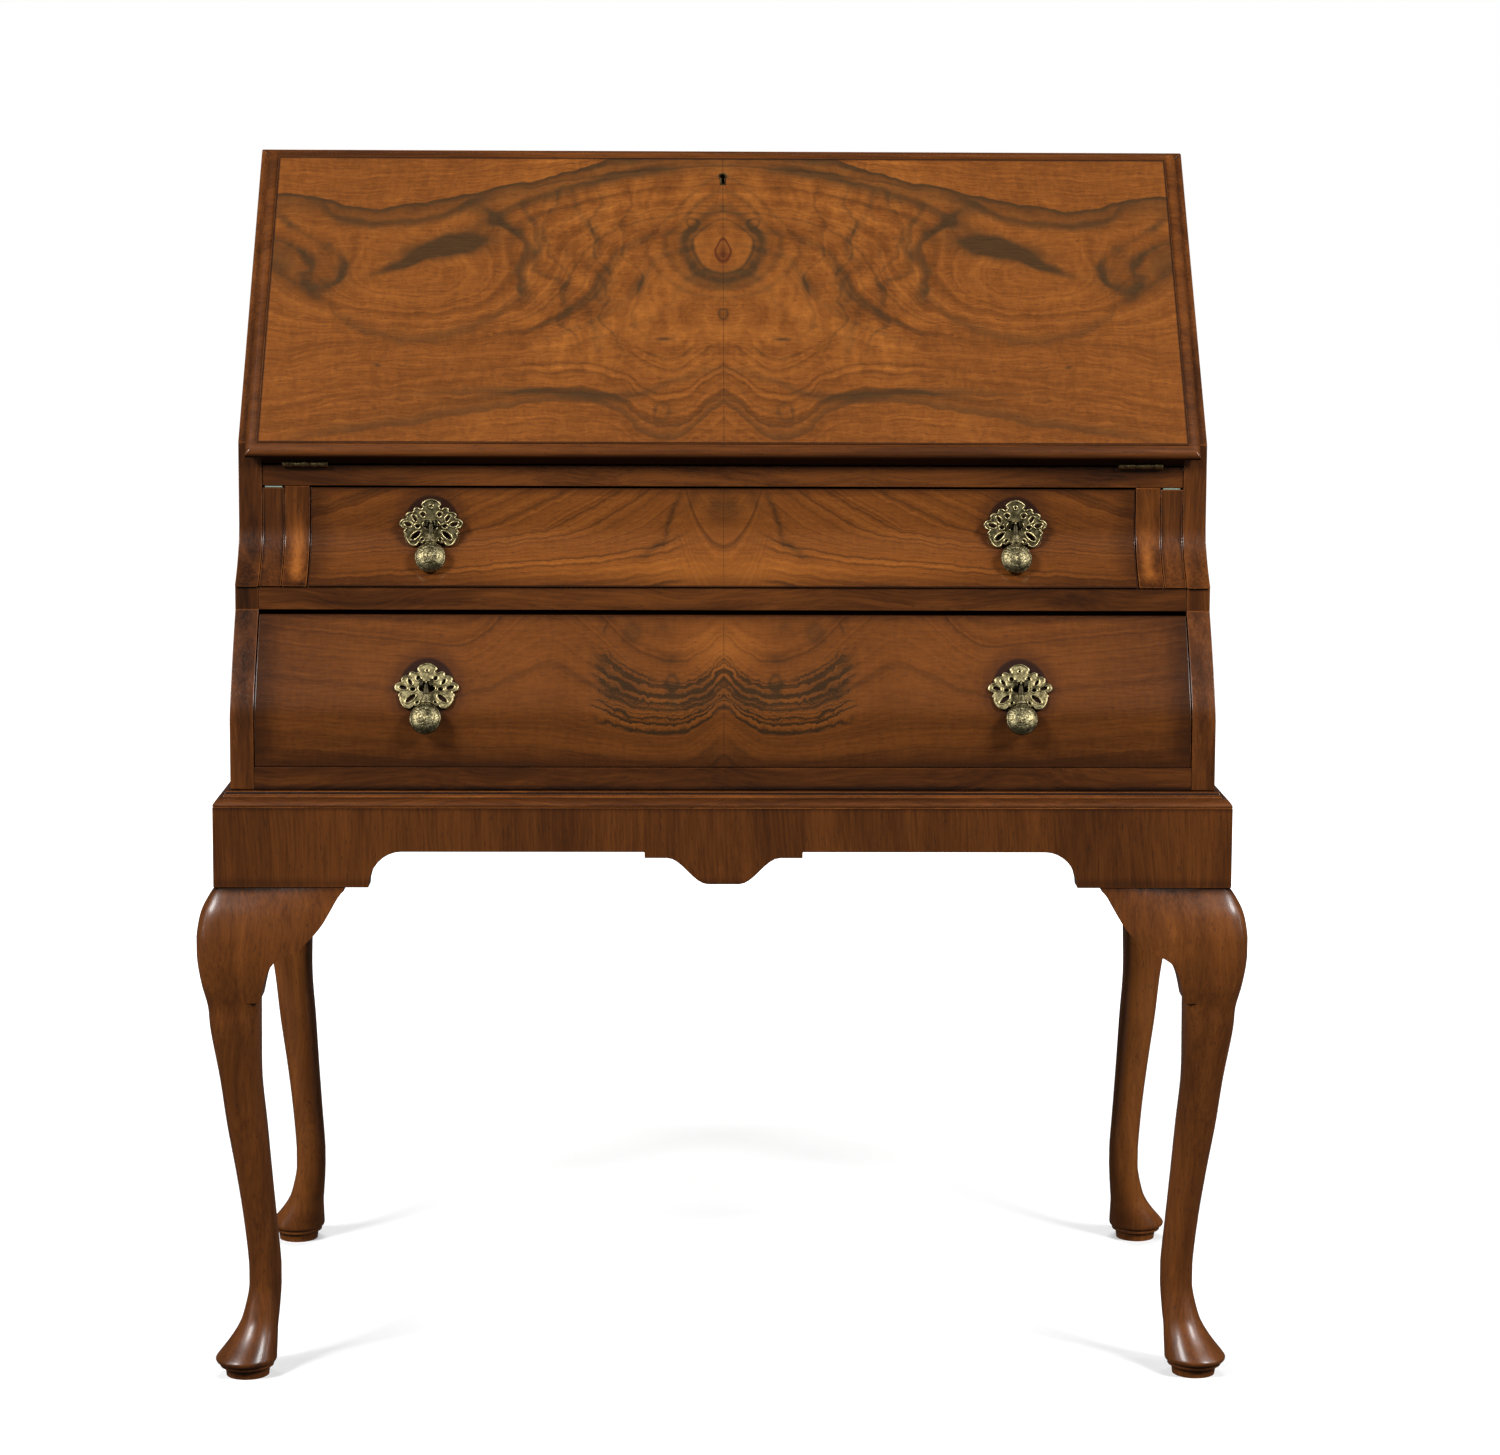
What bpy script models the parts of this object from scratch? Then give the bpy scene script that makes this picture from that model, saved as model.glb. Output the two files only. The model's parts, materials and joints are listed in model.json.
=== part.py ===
"""Writing bureau on cabriole legs.

Metres, +Z up, +X to the right, the front faces -Y. The origin is on the floor, under the middle of the
stand. A set back is a distance measured back from the front apron's face.
"""

import math

import bmesh
import bpy
from mathutils import Matrix, Vector

# Clearances
SEAT_GAP = 0.0003            # between pieces that touch
SLIDE_GAP = 0.0010           # beside a drawer
LOPER_GAP = 0.0006           # beside a loper
OVERRUN = 0.004              # how far a cutter runs past what it cuts
MERGE_DISTANCE = 0.00001

# Stand
STAND_WIDTH = 0.845
STAND_DEPTH = 0.445
LEG_HEIGHT = 0.4216
APRON_HEIGHT = 0.0674
APRON_THICKNESS = 0.022
BACK_RAIL_HEIGHT = 0.048
MOULDING_HEIGHT = 0.0123
MOULDING_DEPTH = 0.040
MOULDING_REVEAL = 0.0002     # between the moulding's upper edge and the case's face, seen from above

# Aprons' lower edges
APRON_FOOT_HALF = 0.294      # half the width between the front apron's two low ends
APRON_RISE = 0.0300
APRON_CURVE_WIDTH = 0.027
APRON_STEP_HALF = 0.0656
APRON_STEP_DROP = 0.0050
PENDANT_SHOULDER_HALF = 0.047
PENDANT_FOOT_HALF = 0.0128
PENDANT_DROP = 0.0220
SIDE_APRON_FOOT = 0.112      # length of the low part at each end of a side apron

# Cabriole legs
LEG_STOCK = 0.050            # the stations below are shares of it
LEG_POINTS = 20
POST_SIZE = 0.030            # square post inside the stand's corner
POST_HEIGHT = 0.060
POST_ROOT = 0.020

# Ear brackets
EAR_LENGTH = 0.0712
EAR_HEIGHT = 0.096
EAR_THICKNESS = 0.022
EAR_ROOT = 0.003             # how far a side ear is let into its leg
EAR_STEPS = 6

# Case
CASE_WIDTH = 0.818
SIDE_THICKNESS = 0.0195
CASE_BACK_INSET = 0.0095     # from the stand's back to the case's
BACK_THICKNESS = 0.009
BOTTOM_RAIL_HEIGHT = 0.0184
LOWER_OPENING_HEIGHT = 0.1261
DIVIDING_RAIL_HEIGHT = 0.0197
UPPER_OPENING_HEIGHT = 0.0819
BED_THICKNESS = 0.0175
DESK_HEIGHT = 0.2660
TOP_THICKNESS = 0.0195
RAIL_DEPTH = 0.060
DUST_BOARD_THICKNESS = 0.008

# Front edge of the case
BELLY_SETBACK = 0.0135
RAIL_SETBACK = 0.0600
ARRIS_SETBACK = 0.0575
UPPER_SETBACK = 0.0922
BED_SETBACK = 0.0935
TOP_SETBACK = 0.2890
BELLY_HEIGHT = 0.0400        # straight part of the lower drawer's front
HOLLOW_HEIGHT = 0.0489
SLOPE_FOOT_HEIGHT = 0.0190   # above the writing bed
PROFILE_STEPS = 8

# Fall
FALL_THICKNESS = 0.0185
FALL_HALF = 0.4025
FALL_LENGTH = 0.3265
FALL_SIDE_GAP = 0.0007       # between the fall's body and the case's sides
FALL_BODY_START = 0.0005     # the fall's body begins this far from the hinge's axis
FALL_LIP_DROP = 0.0008       # the lip's nose reaches this far past the hinge's axis
LIP_OVERHANG = 0.0210        # lip above the fall's body, over the top board's edge
LIP_WIDTH = 0.0100
LIP_EDGE = 0.0020
LIP_QUIRK = 0.0012
LIP_STEPS = 5
HINGE_SETBACK = 0.0905
HINGE_RISE = 0.0010          # axis above the writing bed
LEATHER_THICKNESS = 0.0010
LEATHER_MARGIN = 0.0588
LEATHER_FOOT = 0.0445
LEATHER_HEIGHT = 0.205

# Hinges
HINGE_WIDTH = 0.038
HINGE_HALF_SPACING = 0.3525
LEAF_LENGTH = 0.022
LEAF_THICKNESS = 0.0015
LEAF_START = 0.0035          # a leaf's plate begins this far from the axis
KNUCKLE_RADIUS = 0.0026
KNUCKLE_COUNT = 5
PIN_RADIUS = 0.0011
ROUND_SIDES = 14

# Lock
LOCK_WIDTH = 0.056
LOCK_LENGTH = 0.040
LOCK_DEPTH = 0.0085
BOLT_WIDTH = 0.022
BOLT_THICKNESS = 0.0035
BOLT_LENGTH = 0.024
BOLT_TRAVEL = 0.009
BOLT_CLEARANCE = 0.0006
STRIKE_WIDTH = 0.044
STRIKE_DEPTH = 0.015
STRIKE_RIM = 0.0015
STRIKE_THICKNESS = 0.0012
KEYHOLE_RADIUS = 0.0026
KEYHOLE_SLOT_WIDTH = 0.0026
KEYHOLE_SLOT_LENGTH = 0.0085
KEYHOLE_BELOW_TOP = 0.0307   # from the fall's upper edge to the keyhole's round part
LINER_WALL = 0.0010
LINER_DEPTH = 0.0045

# Lopers and upper uprights
LOPER_WIDTH = 0.0195         # width of the loper's slot
LOPER_BACK_ROOM = 0.0412     # from a closed loper's end to the back panel
UPRIGHT_THICKNESS = 0.0207
UPRIGHT_BACK_ROOM = 0.0312
BAIZE_THICKNESS = 0.0010
BAIZE_LENGTH = 0.200
BAIZE_MARGIN = 0.0020

# Drawers
DRAWER_FRONT_THICKNESS = 0.022
DRAWER_SIDE_THICKNESS = 0.010
DRAWER_BOTTOM_THICKNESS = 0.0055
DRAWER_BOTTOM_RISE = 0.008
DRAWER_GROOVE = 0.004
DRAWER_BACK_ROOM = 0.0212    # behind a closed drawer
DRAWER_FOOT_GAP = 0.0004
UPPER_FRONT_GAP = 0.0018     # above the upper drawer's front and the lopers
LOWER_FRONT_GAP = 0.0039     # above the lower drawer's front
UPPER_SIDE_HEIGHT = 0.070
LOWER_SIDE_HEIGHT = 0.105
STOP_HEIGHT = 0.005
STOP_WIDTH = 0.300
STOP_DEPTH = 0.018

# Drop pulls
PULL_HALF_SPACING = 0.2465
UPPER_PULL_RISE = 0.0519     # middle of the post above the upper opening's foot
LOWER_PULL_RISE = 0.0665     # the same on the lower drawer
PLATE_HALF_WIDTH = 0.0267
PLATE_HEIGHT = 0.0403
PLATE_THICKNESS = 0.0016
POST_SHANK_RADIUS = 0.0025
POST_SHANK_LENGTH = 0.020    # in the wood, where the front is too thick for a nut
POST_TAIL = 0.0020           # thread past the nut
POST_NUT_RADIUS = 0.0060
POST_NUT_THICKNESS = 0.0030
POST_HEAD_WIDTH = 0.0120
POST_HEAD_HEIGHT = 0.0056
POST_SLOT_WIDTH = 0.0060
POST_BAR_RADIUS = 0.0011
POST_REACH = 0.0070          # the drop's axis in front of the plate
EYE_CLEARANCE = 0.0005
DROP_EYE_RADIUS = 0.0027
DROP_EYE_WIDTH = 0.0052
DROP_LENGTH = 0.0440         # from the axis to the foot of the ball
DROP_BALL_RADIUS = 0.0131
DROP_SIDES = 16
PULL_REST_TILT = math.radians(24)

# Pigeonholes
NEST_SETBACK = 0.300
NEST_BOARD = 0.006
NEST_SHELF_RISE = 0.110
NEST_LOWER_COUNT = 5
NEST_UPPER_COUNT = 2

SHARP_ANGLE = math.radians(40)

# Shares of the swell between the case's set backs, and how fast it grows
BULGE_POWER_SHARE = 1.25
HOLLOW_POWER_SHARE = 1.8
EAR_FADE_SHARE = 1.2

# Shares: the leg's stations, from the floor up. Each row gives the height as a share of LEG_HEIGHT, the
# centre's distance in from the stand's corner and the half width as shares of LEG_STOCK, and how square
# the outer corner and the other three corners are (2 is round).
LEG_STATION_SHARES = (
    (0.0000, 0.430, 0.360, 2.0, 2.0),
    (0.0185, 0.430, 0.385, 2.0, 2.0),
    (0.0200, 0.420, 0.450, 2.0, 2.0),
    (0.0275, 0.415, 0.455, 2.0, 2.0),
    (0.0290, 0.410, 0.495, 2.0, 2.0),
    (0.0356, 0.410, 0.514, 2.0, 2.0),
    (0.0451, 0.437, 0.489, 2.0, 2.0),
    (0.0697, 0.523, 0.405, 2.0, 2.0),
    (0.0944, 0.593, 0.337, 2.0, 2.0),
    (0.1193, 0.646, 0.304, 2.0, 2.0),
    (0.1686, 0.706, 0.274, 2.0, 2.0),
    (0.2180, 0.710, 0.274, 2.1, 2.1),
    (0.3167, 0.641, 0.279, 2.2, 2.2),
    (0.4148, 0.556, 0.302, 2.3, 2.3),
    (0.5128, 0.465, 0.335, 2.5, 2.5),
    (0.6105, 0.382, 0.350, 2.8, 2.9),
    (0.7078, 0.317, 0.415, 3.1, 3.6),
    (0.7600, 0.298, 0.434, 3.3, 4.5),
    (0.8048, 0.254, 0.478, 3.4, 6.0),
    (0.8539, 0.222, 0.510, 3.4, 9.0),
    (0.9013, 0.218, 0.514, 3.5, 12.0),
    (0.9500, 0.254, 0.478, 3.8, 14.0),
    (0.9830, 0.322, 0.410, 4.5, 14.0),
    (1.0000, 0.376, 0.356, 6.0, 14.0),
)
# Shares: the face of the leg that an ear stands against
LEG_FACE_SHARE = 0.732

# Shares: an ear's lower edge. Along the ear from the leg, and down from the apron.
EAR_EDGE_SHARES = (
    (0.00, 1.000),
    (0.03, 0.960),
    (0.06, 0.855),
    (0.10, 0.750),
    (0.19, 0.640),
    (0.32, 0.580),
    (0.46, 0.535),
    (0.62, 0.430),
    (0.74, 0.325),
    (0.83, 0.215),
    (0.93, 0.085),
    (1.00, 0.025),
)

# Shares of the moulding's projection and height, from the case down to the apron's face
MOULDING_SHARES = (
    (0.00, 0.00),
    (0.22, 0.08),
    (0.29, 0.20),
    (0.30, 0.30),
    (0.38, 0.36),
    (0.38, 0.43),
    (0.62, 0.49),
    (0.85, 0.65),
    (0.98, 0.85),
    (1.00, 1.00),
)

# Shares of the backplate's half width and height: the right half of its outline, from the top down
PLATE_OUTLINE_SHARES = (
    (0.00, 1.000), (0.14, 0.985), (0.26, 0.943), (0.31, 0.870), (0.39, 0.846), (0.58, 0.796),
    (0.70, 0.740), (0.77, 0.682), (0.82, 0.620), (0.85, 0.583), (0.95, 0.558), (1.00, 0.484),
    (0.95, 0.409), (0.81, 0.372), (0.87, 0.298), (0.81, 0.186), (0.68, 0.074), (0.51, 0.000),
    (0.38, 0.012), (0.34, 0.099), (0.28, 0.174), (0.14, 0.215), (0.00, 0.230),
)
# Shares: the post's height in the plate
PLATE_PIVOT_SHARE = 0.509
# Shares: holes, as centre in half widths and heights, half length and half width in half widths, and
# the turn in degrees
PLATE_HOLE_SHARES = (
    (0.00, 0.875, 0.050, 0.050, 0),
    (0.24, 0.700, 0.080, 0.070, 0),
    (0.51, 0.640, 0.095, 0.048, -42),
    (0.75, 0.510, 0.100, 0.048, 0),
    (0.46, 0.455, 0.085, 0.045, 0),
    (0.53, 0.265, 0.175, 0.062, -45),
    (0.40, 0.120, 0.055, 0.045, -20),
    (0.00, 0.360, 0.210, 0.085, 0),
)
PLATE_HOLE_POINTS = 10

# Shares: the turned drop's depth below its axis in lengths, its half width in ball radii, and how deep
# it is for its width
DROP_SHARES = (
    (0.045, 0.150, 0.80),
    (0.140, 0.160, 0.80),
    (0.230, 0.230, 0.76),
    (0.320, 0.350, 0.68),
    (0.392, 0.480, 0.62),
    (0.404, 0.470, 0.60),
    (0.410, 0.410, 0.60),
    (0.430, 0.410, 0.58),
    (0.455, 0.535, 0.54),
    (0.500, 0.725, 0.52),
    (0.557, 0.870, 0.50),
    (0.636, 0.975, 0.50),
    (0.705, 1.000, 0.50),
    (0.774, 0.975, 0.50),
    (0.853, 0.870, 0.50),
    (0.921, 0.680, 0.50),
    (0.967, 0.470, 0.50),
    (1.000, 0.150, 0.50),
)

# Levels that everything is set out from
HALF_STAND = STAND_WIDTH / 2
CASE_BACK_SETBACK = STAND_DEPTH - CASE_BACK_INSET
FRONT = -STAND_DEPTH / 2
LEG_FACE = LEG_FACE_SHARE * LEG_STOCK
APRON_TOP = LEG_HEIGHT + APRON_HEIGHT
MOULDING_FOOT = APRON_TOP + SEAT_GAP
CASE_FLOOR = MOULDING_FOOT + MOULDING_HEIGHT + SEAT_GAP
LOWER_OPENING = CASE_FLOOR + BOTTOM_RAIL_HEIGHT
DIVIDING_FOOT = LOWER_OPENING + LOWER_OPENING_HEIGHT
UPPER_OPENING = DIVIDING_FOOT + DIVIDING_RAIL_HEIGHT
HOLLOW_TOP = UPPER_OPENING + HOLLOW_HEIGHT
BED_FOOT = UPPER_OPENING + UPPER_OPENING_HEIGHT
BED_TOP = BED_FOOT + BED_THICKNESS
CASE_TOP = BED_TOP + DESK_HEIGHT
TOP_FOOT = CASE_TOP - TOP_THICKNESS
SLOPE_FOOT = BED_TOP + SLOPE_FOOT_HEIGHT
HALF_CASE = CASE_WIDTH / 2
HALF_INSIDE = HALF_CASE - SIDE_THICKNESS
HALF_UPPER = HALF_INSIDE - LOPER_WIDTH - UPRIGHT_THICKNESS
PANEL_BACK = CASE_BACK_SETBACK - BACK_THICKNESS
CARCASS_BACK = PANEL_BACK - SEAT_GAP
LOPER_BACK_SETBACK = CARCASS_BACK - LOPER_BACK_ROOM
UPRIGHT_BACK_SETBACK = CARCASS_BACK - UPRIGHT_BACK_ROOM
DRAWER_BACK_SETBACK = CARCASS_BACK - DRAWER_BACK_ROOM
SLOPE_ANGLE = math.atan2(CASE_TOP - SLOPE_FOOT, TOP_SETBACK - UPPER_SETBACK)


def back(setback):
    """World Y of a set back from the front apron's face."""
    return FRONT + setback


# The fall's frame: X along the hinges' axis, Y up the slope, Z out of the closed fall's face
HINGE_POINT = Vector((0, back(HINGE_SETBACK), BED_TOP + HINGE_RISE))
FALL_FRAME = Matrix.Translation(HINGE_POINT) @ Matrix.Rotation(SLOPE_ANGLE, 4, "X")
# How far the sides' sloping edges lie in front of the fall's inner face
SLOPE_STAND_OFF = (FALL_FRAME.inverted() @ Vector((0, back(UPPER_SETBACK), SLOPE_FOOT))).z


def new_collection(name):
    collection = bpy.data.collections.new(name)
    bpy.context.scene.collection.children.link(collection)
    return collection


def finish(name, color, roughness, metallic=0.0):
    material = bpy.data.materials.new(name)
    material.use_nodes = True
    shader = material.node_tree.nodes["Principled BSDF"]
    shader.inputs["Base Color"].default_value = (*color, 1)
    shader.inputs["Roughness"].default_value = roughness
    shader.inputs["Metallic"].default_value = metallic
    material.diffuse_color = (*color, 1)
    return material


for leftover in list(bpy.data.objects):
    bpy.data.objects.remove(leftover, do_unlink=True)

BUREAU = new_collection("writing_bureau")
CUTTERS = new_collection("cutters")

WALNUT = finish("polished_walnut", (0.23, 0.085, 0.022), 0.28)
FIGURED = finish("figured_walnut", (0.33, 0.13, 0.03), 0.22)
LEG_WOOD = finish("dark_walnut", (0.13, 0.045, 0.014), 0.25)
LINING = finish("oak_lining", (0.42, 0.27, 0.13), 0.6)
BRASS = finish("aged_brass", (0.42, 0.33, 0.14), 0.38, 1.0)
STEEL = finish("dull_steel", (0.35, 0.34, 0.32), 0.4, 1.0)
BAIZE = finish("green_baize", (0.20, 0.27, 0.20), 0.95)
LEATHER = finish("writing_leather", (0.10, 0.16, 0.09), 0.5)


def add_object(name, mesh, material, frame, collection):
    piece = bpy.data.objects.new(name, mesh)
    collection.objects.link(piece)
    piece.matrix_world = frame
    mesh.materials.clear()
    mesh.materials.append(material)
    if collection is CUTTERS:
        piece.hide_render = True
        piece.display_type = "WIRE"
    return piece


def mesh_from(name, bm):
    bmesh.ops.recalc_face_normals(bm, faces=bm.faces)
    mesh = bpy.data.meshes.new(name)
    bm.to_mesh(mesh)
    bm.free()
    return mesh


def block(name, x, y, z, material, frame=Matrix(), collection=BUREAU):
    """A box between pairs of coordinates in a frame, with its origin at its centre."""
    bm = bmesh.new()
    size = Matrix.Diagonal((x[1] - x[0], y[1] - y[0], z[1] - z[0], 1))
    bmesh.ops.create_cube(bm, size=1, matrix=size)
    centre = Matrix.Translation(((x[0] + x[1]) / 2, (y[0] + y[1]) / 2, (z[0] + z[1]) / 2))
    return add_object(name, mesh_from(name, bm), material, frame @ centre, collection)


def rod(name, radius, start, end, material, frame=Matrix(), collection=BUREAU):
    """A round bar between two points in a frame."""
    start, end = Vector(start), Vector(end)
    bm = bmesh.new()
    bmesh.ops.create_cone(bm, cap_ends=True, segments=ROUND_SIDES, radius1=radius, radius2=radius,
                          depth=(end - start).length)
    turn = (end - start).to_track_quat("Z", "Y").to_matrix().to_4x4()
    place = frame @ Matrix.Translation((start + end) / 2) @ turn
    piece = add_object(name, mesh_from(name, bm), material, place, collection)
    piece.data.shade_smooth()
    piece.data.set_sharp_from_angle(angle=SHARP_ANGLE)
    return piece


def outline_solid(name, outlines, thickness, material, frame=Matrix(), collection=BUREAU):
    """Extrude flat outlines, the first one round the others as holes, from a frame's XY plane along +Z."""
    curve = bpy.data.curves.new(name, "CURVE")
    curve.dimensions = "2D"
    curve.fill_mode = "BOTH"
    curve.extrude = thickness / 2
    for outline in outlines:
        spline = curve.splines.new("POLY")
        spline.points.add(len(outline) - 1)
        for point, (u, v) in zip(spline.points, outline):
            point.co = (u, v, 0, 1)
        spline.use_cyclic_u = True
    guide = bpy.data.objects.new(name, curve)
    collection.objects.link(guide)
    bpy.context.view_layer.update()
    evaluated = guide.evaluated_get(bpy.context.evaluated_depsgraph_get())
    filled = bpy.data.meshes.new_from_object(evaluated)
    bpy.data.objects.remove(guide, do_unlink=True)
    bm = bmesh.new()
    bm.from_mesh(filled)
    bpy.data.meshes.remove(filled)
    bmesh.ops.remove_doubles(bm, verts=bm.verts, dist=MERGE_DISTANCE)
    place = frame @ Matrix.Translation((0, 0, thickness / 2))
    return add_object(name, mesh_from(name, bm), material, place, collection)


def loft(name, rings, material, origin=(0, 0, 0), frame=Matrix(), collection=BUREAU):
    """Join rings of equal point counts with quads and close both ends."""
    origin = Vector(origin)
    bm = bmesh.new()
    rows = [[bm.verts.new(Vector(point) - origin) for point in ring] for ring in rings]
    for lower, upper in zip(rows, rows[1:]):
        for index in range(len(lower)):
            after = (index + 1) % len(lower)
            bm.faces.new((lower[index], lower[after], upper[after], upper[index]))
    bm.faces.new(rows[0])
    bm.faces.new(rows[-1])
    return add_object(name, mesh_from(name, bm), material, frame @ Matrix.Translation(origin), collection)


def combine(piece, other, operation):
    """A boolean with the EXACT solver, left on the piece."""
    modifier = piece.modifiers.new(operation.lower(), "BOOLEAN")
    modifier.operation = operation
    modifier.solver = "EXACT"
    modifier.object = other


def cut_block(piece, x, y, z, frame=Matrix()):
    cutter = block(piece.name + "_cut", x, y, z, piece.data.materials[0], frame, CUTTERS)
    combine(piece, cutter, "DIFFERENCE")


def cut_rod(piece, radius, start, end, frame=Matrix()):
    cutter = rod(piece.name + "_bore", radius, start, end, piece.data.materials[0], frame, CUTTERS)
    combine(piece, cutter, "DIFFERENCE")


def cut_outline(piece, outline, thickness, frame=Matrix()):
    cutter = outline_solid(piece.name + "_cut", [outline], thickness, piece.data.materials[0], frame, CUTTERS)
    combine(piece, cutter, "DIFFERENCE")


def join_block(piece, x, y, z, frame=Matrix()):
    other = block(piece.name + "_join", x, y, z, piece.data.materials[0], frame, CUTTERS)
    combine(piece, other, "UNION")


def join_rod(piece, radius, start, end, frame=Matrix()):
    other = rod(piece.name + "_join", radius, start, end, piece.data.materials[0], frame, CUTTERS)
    combine(piece, other, "UNION")


def mitre(piece, point, outward):
    """Slice a piece with a plane and drop what lies on the outward side."""
    bpy.context.view_layer.update()
    inverse = piece.matrix_world.inverted()
    bm = bmesh.new()
    bm.from_mesh(piece.data)
    bmesh.ops.bisect_plane(bm, geom=bm.verts[:] + bm.edges[:] + bm.faces[:], dist=MERGE_DISTANCE,
                           plane_co=inverse @ Vector(point), clear_outer=True,
                           plane_no=(inverse.to_3x3() @ Vector(outward)).normalized())
    bmesh.ops.holes_fill(bm, edges=[edge for edge in bm.edges if edge.is_boundary], sides=0)
    bmesh.ops.recalc_face_normals(bm, faces=bm.faces)
    bm.to_mesh(piece.data)
    bm.free()


def pivot(name, frame, parent=None):
    """An empty on a joint's axis, which carries what moves there."""
    empty = bpy.data.objects.new(name, None)
    BUREAU.objects.link(empty)
    empty.matrix_world = frame
    if parent is not None:
        carry(parent, [empty])
    return empty


def carry(empty, pieces):
    bpy.context.view_layer.update()
    for piece in pieces:
        piece.parent = empty
        piece.matrix_parent_inverse = empty.matrix_world.inverted()


def circle(radius, sides, centre=(0, 0)):
    turns = [2 * math.pi * index / sides for index in range(sides)]
    return [(centre[0] + radius * math.cos(turn), centre[1] + radius * math.sin(turn)) for turn in turns]


# Frames for outlines: drawn in Y and Z and extruded along X, or drawn in X and Z and extruded forwards
def side_frame(x):
    return Matrix(((0, 0, 1, x), (1, 0, 0, 0), (0, 1, 0, 0), (0, 0, 0, 1)))


def front_frame(y):
    return Matrix(((1, 0, 0, 0), (0, 0, -1, y), (0, 1, 0, 0), (0, 0, 0, 1)))


# The case's front edge in section
def front_profile():
    """Set back and height of the front edge, from the floor of the case to the foot of the slope."""
    points = [(BELLY_SETBACK, CASE_FLOOR)]
    bulge_foot = LOWER_OPENING + BELLY_HEIGHT
    for step in range(PROFILE_STEPS + 1):
        share = step / PROFILE_STEPS
        setback = BELLY_SETBACK + (RAIL_SETBACK - BELLY_SETBACK) * share ** BULGE_POWER_SHARE
        points.append((setback, bulge_foot + (DIVIDING_FOOT - bulge_foot) * share))
    points.append((RAIL_SETBACK, UPPER_OPENING))
    for step in range(PROFILE_STEPS + 1):
        share = 1 - step / PROFILE_STEPS
        setback = UPPER_SETBACK - (UPPER_SETBACK - ARRIS_SETBACK) * share ** HOLLOW_POWER_SHARE
        points.append((setback, UPPER_OPENING + HOLLOW_HEIGHT * (1 - share)))
    points.append((UPPER_SETBACK, SLOPE_FOOT))
    return points


PROFILE = front_profile()


def profile_span(height, above=True):
    """The stretch of the profile at a height: its ends, as set back and height."""
    spans = [span for span in zip(PROFILE, PROFILE[1:]) if span[0][1] <= height <= span[1][1]
             and span[0][1] < span[1][1]]
    return spans[-1] if above else spans[0]


def setback_at(height, above=True):
    (start, start_z), (end, end_z) = profile_span(height, above)
    return start + (end - start) * (height - start_z) / (end_z - start_z)


def profile_between(low, high):
    """World Y and Z of the front edge between two heights."""
    points = [(back(setback_at(low)), low)]
    points += [(back(setback), height) for setback, height in PROFILE if low < height < high]
    points.append((back(setback_at(high, False)), high))
    return points


def fronted_board(name, x, low, high, back_y, material):
    """A board whose front edge follows the case's profile."""
    outline = profile_between(low, high) + [(back_y, high), (back_y, low)]
    return outline_solid(name, [outline], x[1] - x[0], material, side_frame(x[0]))


# Stand
def quarter_rise(start, width, foot, rise):
    """Points of a hollow quarter that leaves start and climbs by rise while it runs back by width."""
    turns = [math.pi / 2 * step / PROFILE_STEPS for step in range(PROFILE_STEPS + 1)]
    return [(start - width * (1 - math.cos(turn)), foot + rise * math.sin(turn)) for turn in turns]


def build_front_apron():
    raised = LEG_HEIGHT + APRON_RISE
    shoulder = raised - APRON_STEP_DROP
    half = [(HALF_STAND, APRON_TOP), (HALF_STAND, LEG_HEIGHT)]
    half += quarter_rise(APRON_FOOT_HALF, APRON_CURVE_WIDTH, LEG_HEIGHT, APRON_RISE)
    half += [(APRON_STEP_HALF, raised), (APRON_STEP_HALF, shoulder)]
    for step in range(PROFILE_STEPS + 1):
        share = step / PROFILE_STEPS
        half.append((PENDANT_SHOULDER_HALF + (PENDANT_FOOT_HALF - PENDANT_SHOULDER_HALF) * share,
                     shoulder - PENDANT_DROP * (1 - math.cos(math.pi * share)) / 2))
    outline = half + [(-x, z) for x, z in reversed(half)]
    return outline_solid("front_apron", [outline], APRON_THICKNESS, WALNUT,
                         front_frame(FRONT + APRON_THICKNESS))


def build_side_apron(name, x):
    low_end = STAND_DEPTH / 2 - SIDE_APRON_FOOT
    rise = quarter_rise(low_end, APRON_CURVE_WIDTH, LEG_HEIGHT, APRON_RISE)
    half = [(STAND_DEPTH / 2, APRON_TOP), (STAND_DEPTH / 2, LEG_HEIGHT)] + rise
    outline = half + [(-y, z) for y, z in reversed(half)]
    return outline_solid(name, [outline], APRON_THICKNESS, WALNUT, side_frame(x))


def build_moulding():
    """One section carried round the front and both sides, mitred at the front corners."""
    reach = BELLY_SETBACK - MOULDING_REVEAL
    top = MOULDING_FOOT + MOULDING_HEIGHT
    section = [(reach * (1 - out), top - MOULDING_HEIGHT * down) for out, down in MOULDING_SHARES]
    section += [(MOULDING_DEPTH, MOULDING_FOOT), (MOULDING_DEPTH, top)]
    rings = []
    for sign, y_back in ((-1, True), (-1, False), (1, False), (1, True)):
        rings.append([(sign * (HALF_STAND - inward), STAND_DEPTH / 2 if y_back else FRONT + inward, z)
                      for inward, z in section])
    return loft("stand_moulding", rings, WALNUT)


def leg_ring(station, height, sx, sy):
    """One level of a leg: a rounded square whose outer corner has its own roundness."""
    centre_share, half_share, outer_share, inner_share = station
    centre = centre_share * LEG_STOCK
    half = half_share * LEG_STOCK
    ring = []
    for index in range(LEG_POINTS):
        turn = 2 * math.pi * index / LEG_POINTS
        across, along = math.cos(turn), math.sin(turn)
        power = outer_share if across > 0 and along > 0 else inner_share
        out_x = half * math.copysign(abs(across) ** (2 / power), across)
        out_y = half * math.copysign(abs(along) ** (2 / power), along)
        ring.append((sx * (HALF_STAND - centre + out_x), sy * (STAND_DEPTH / 2 - centre + out_y), height))
    return ring


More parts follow.
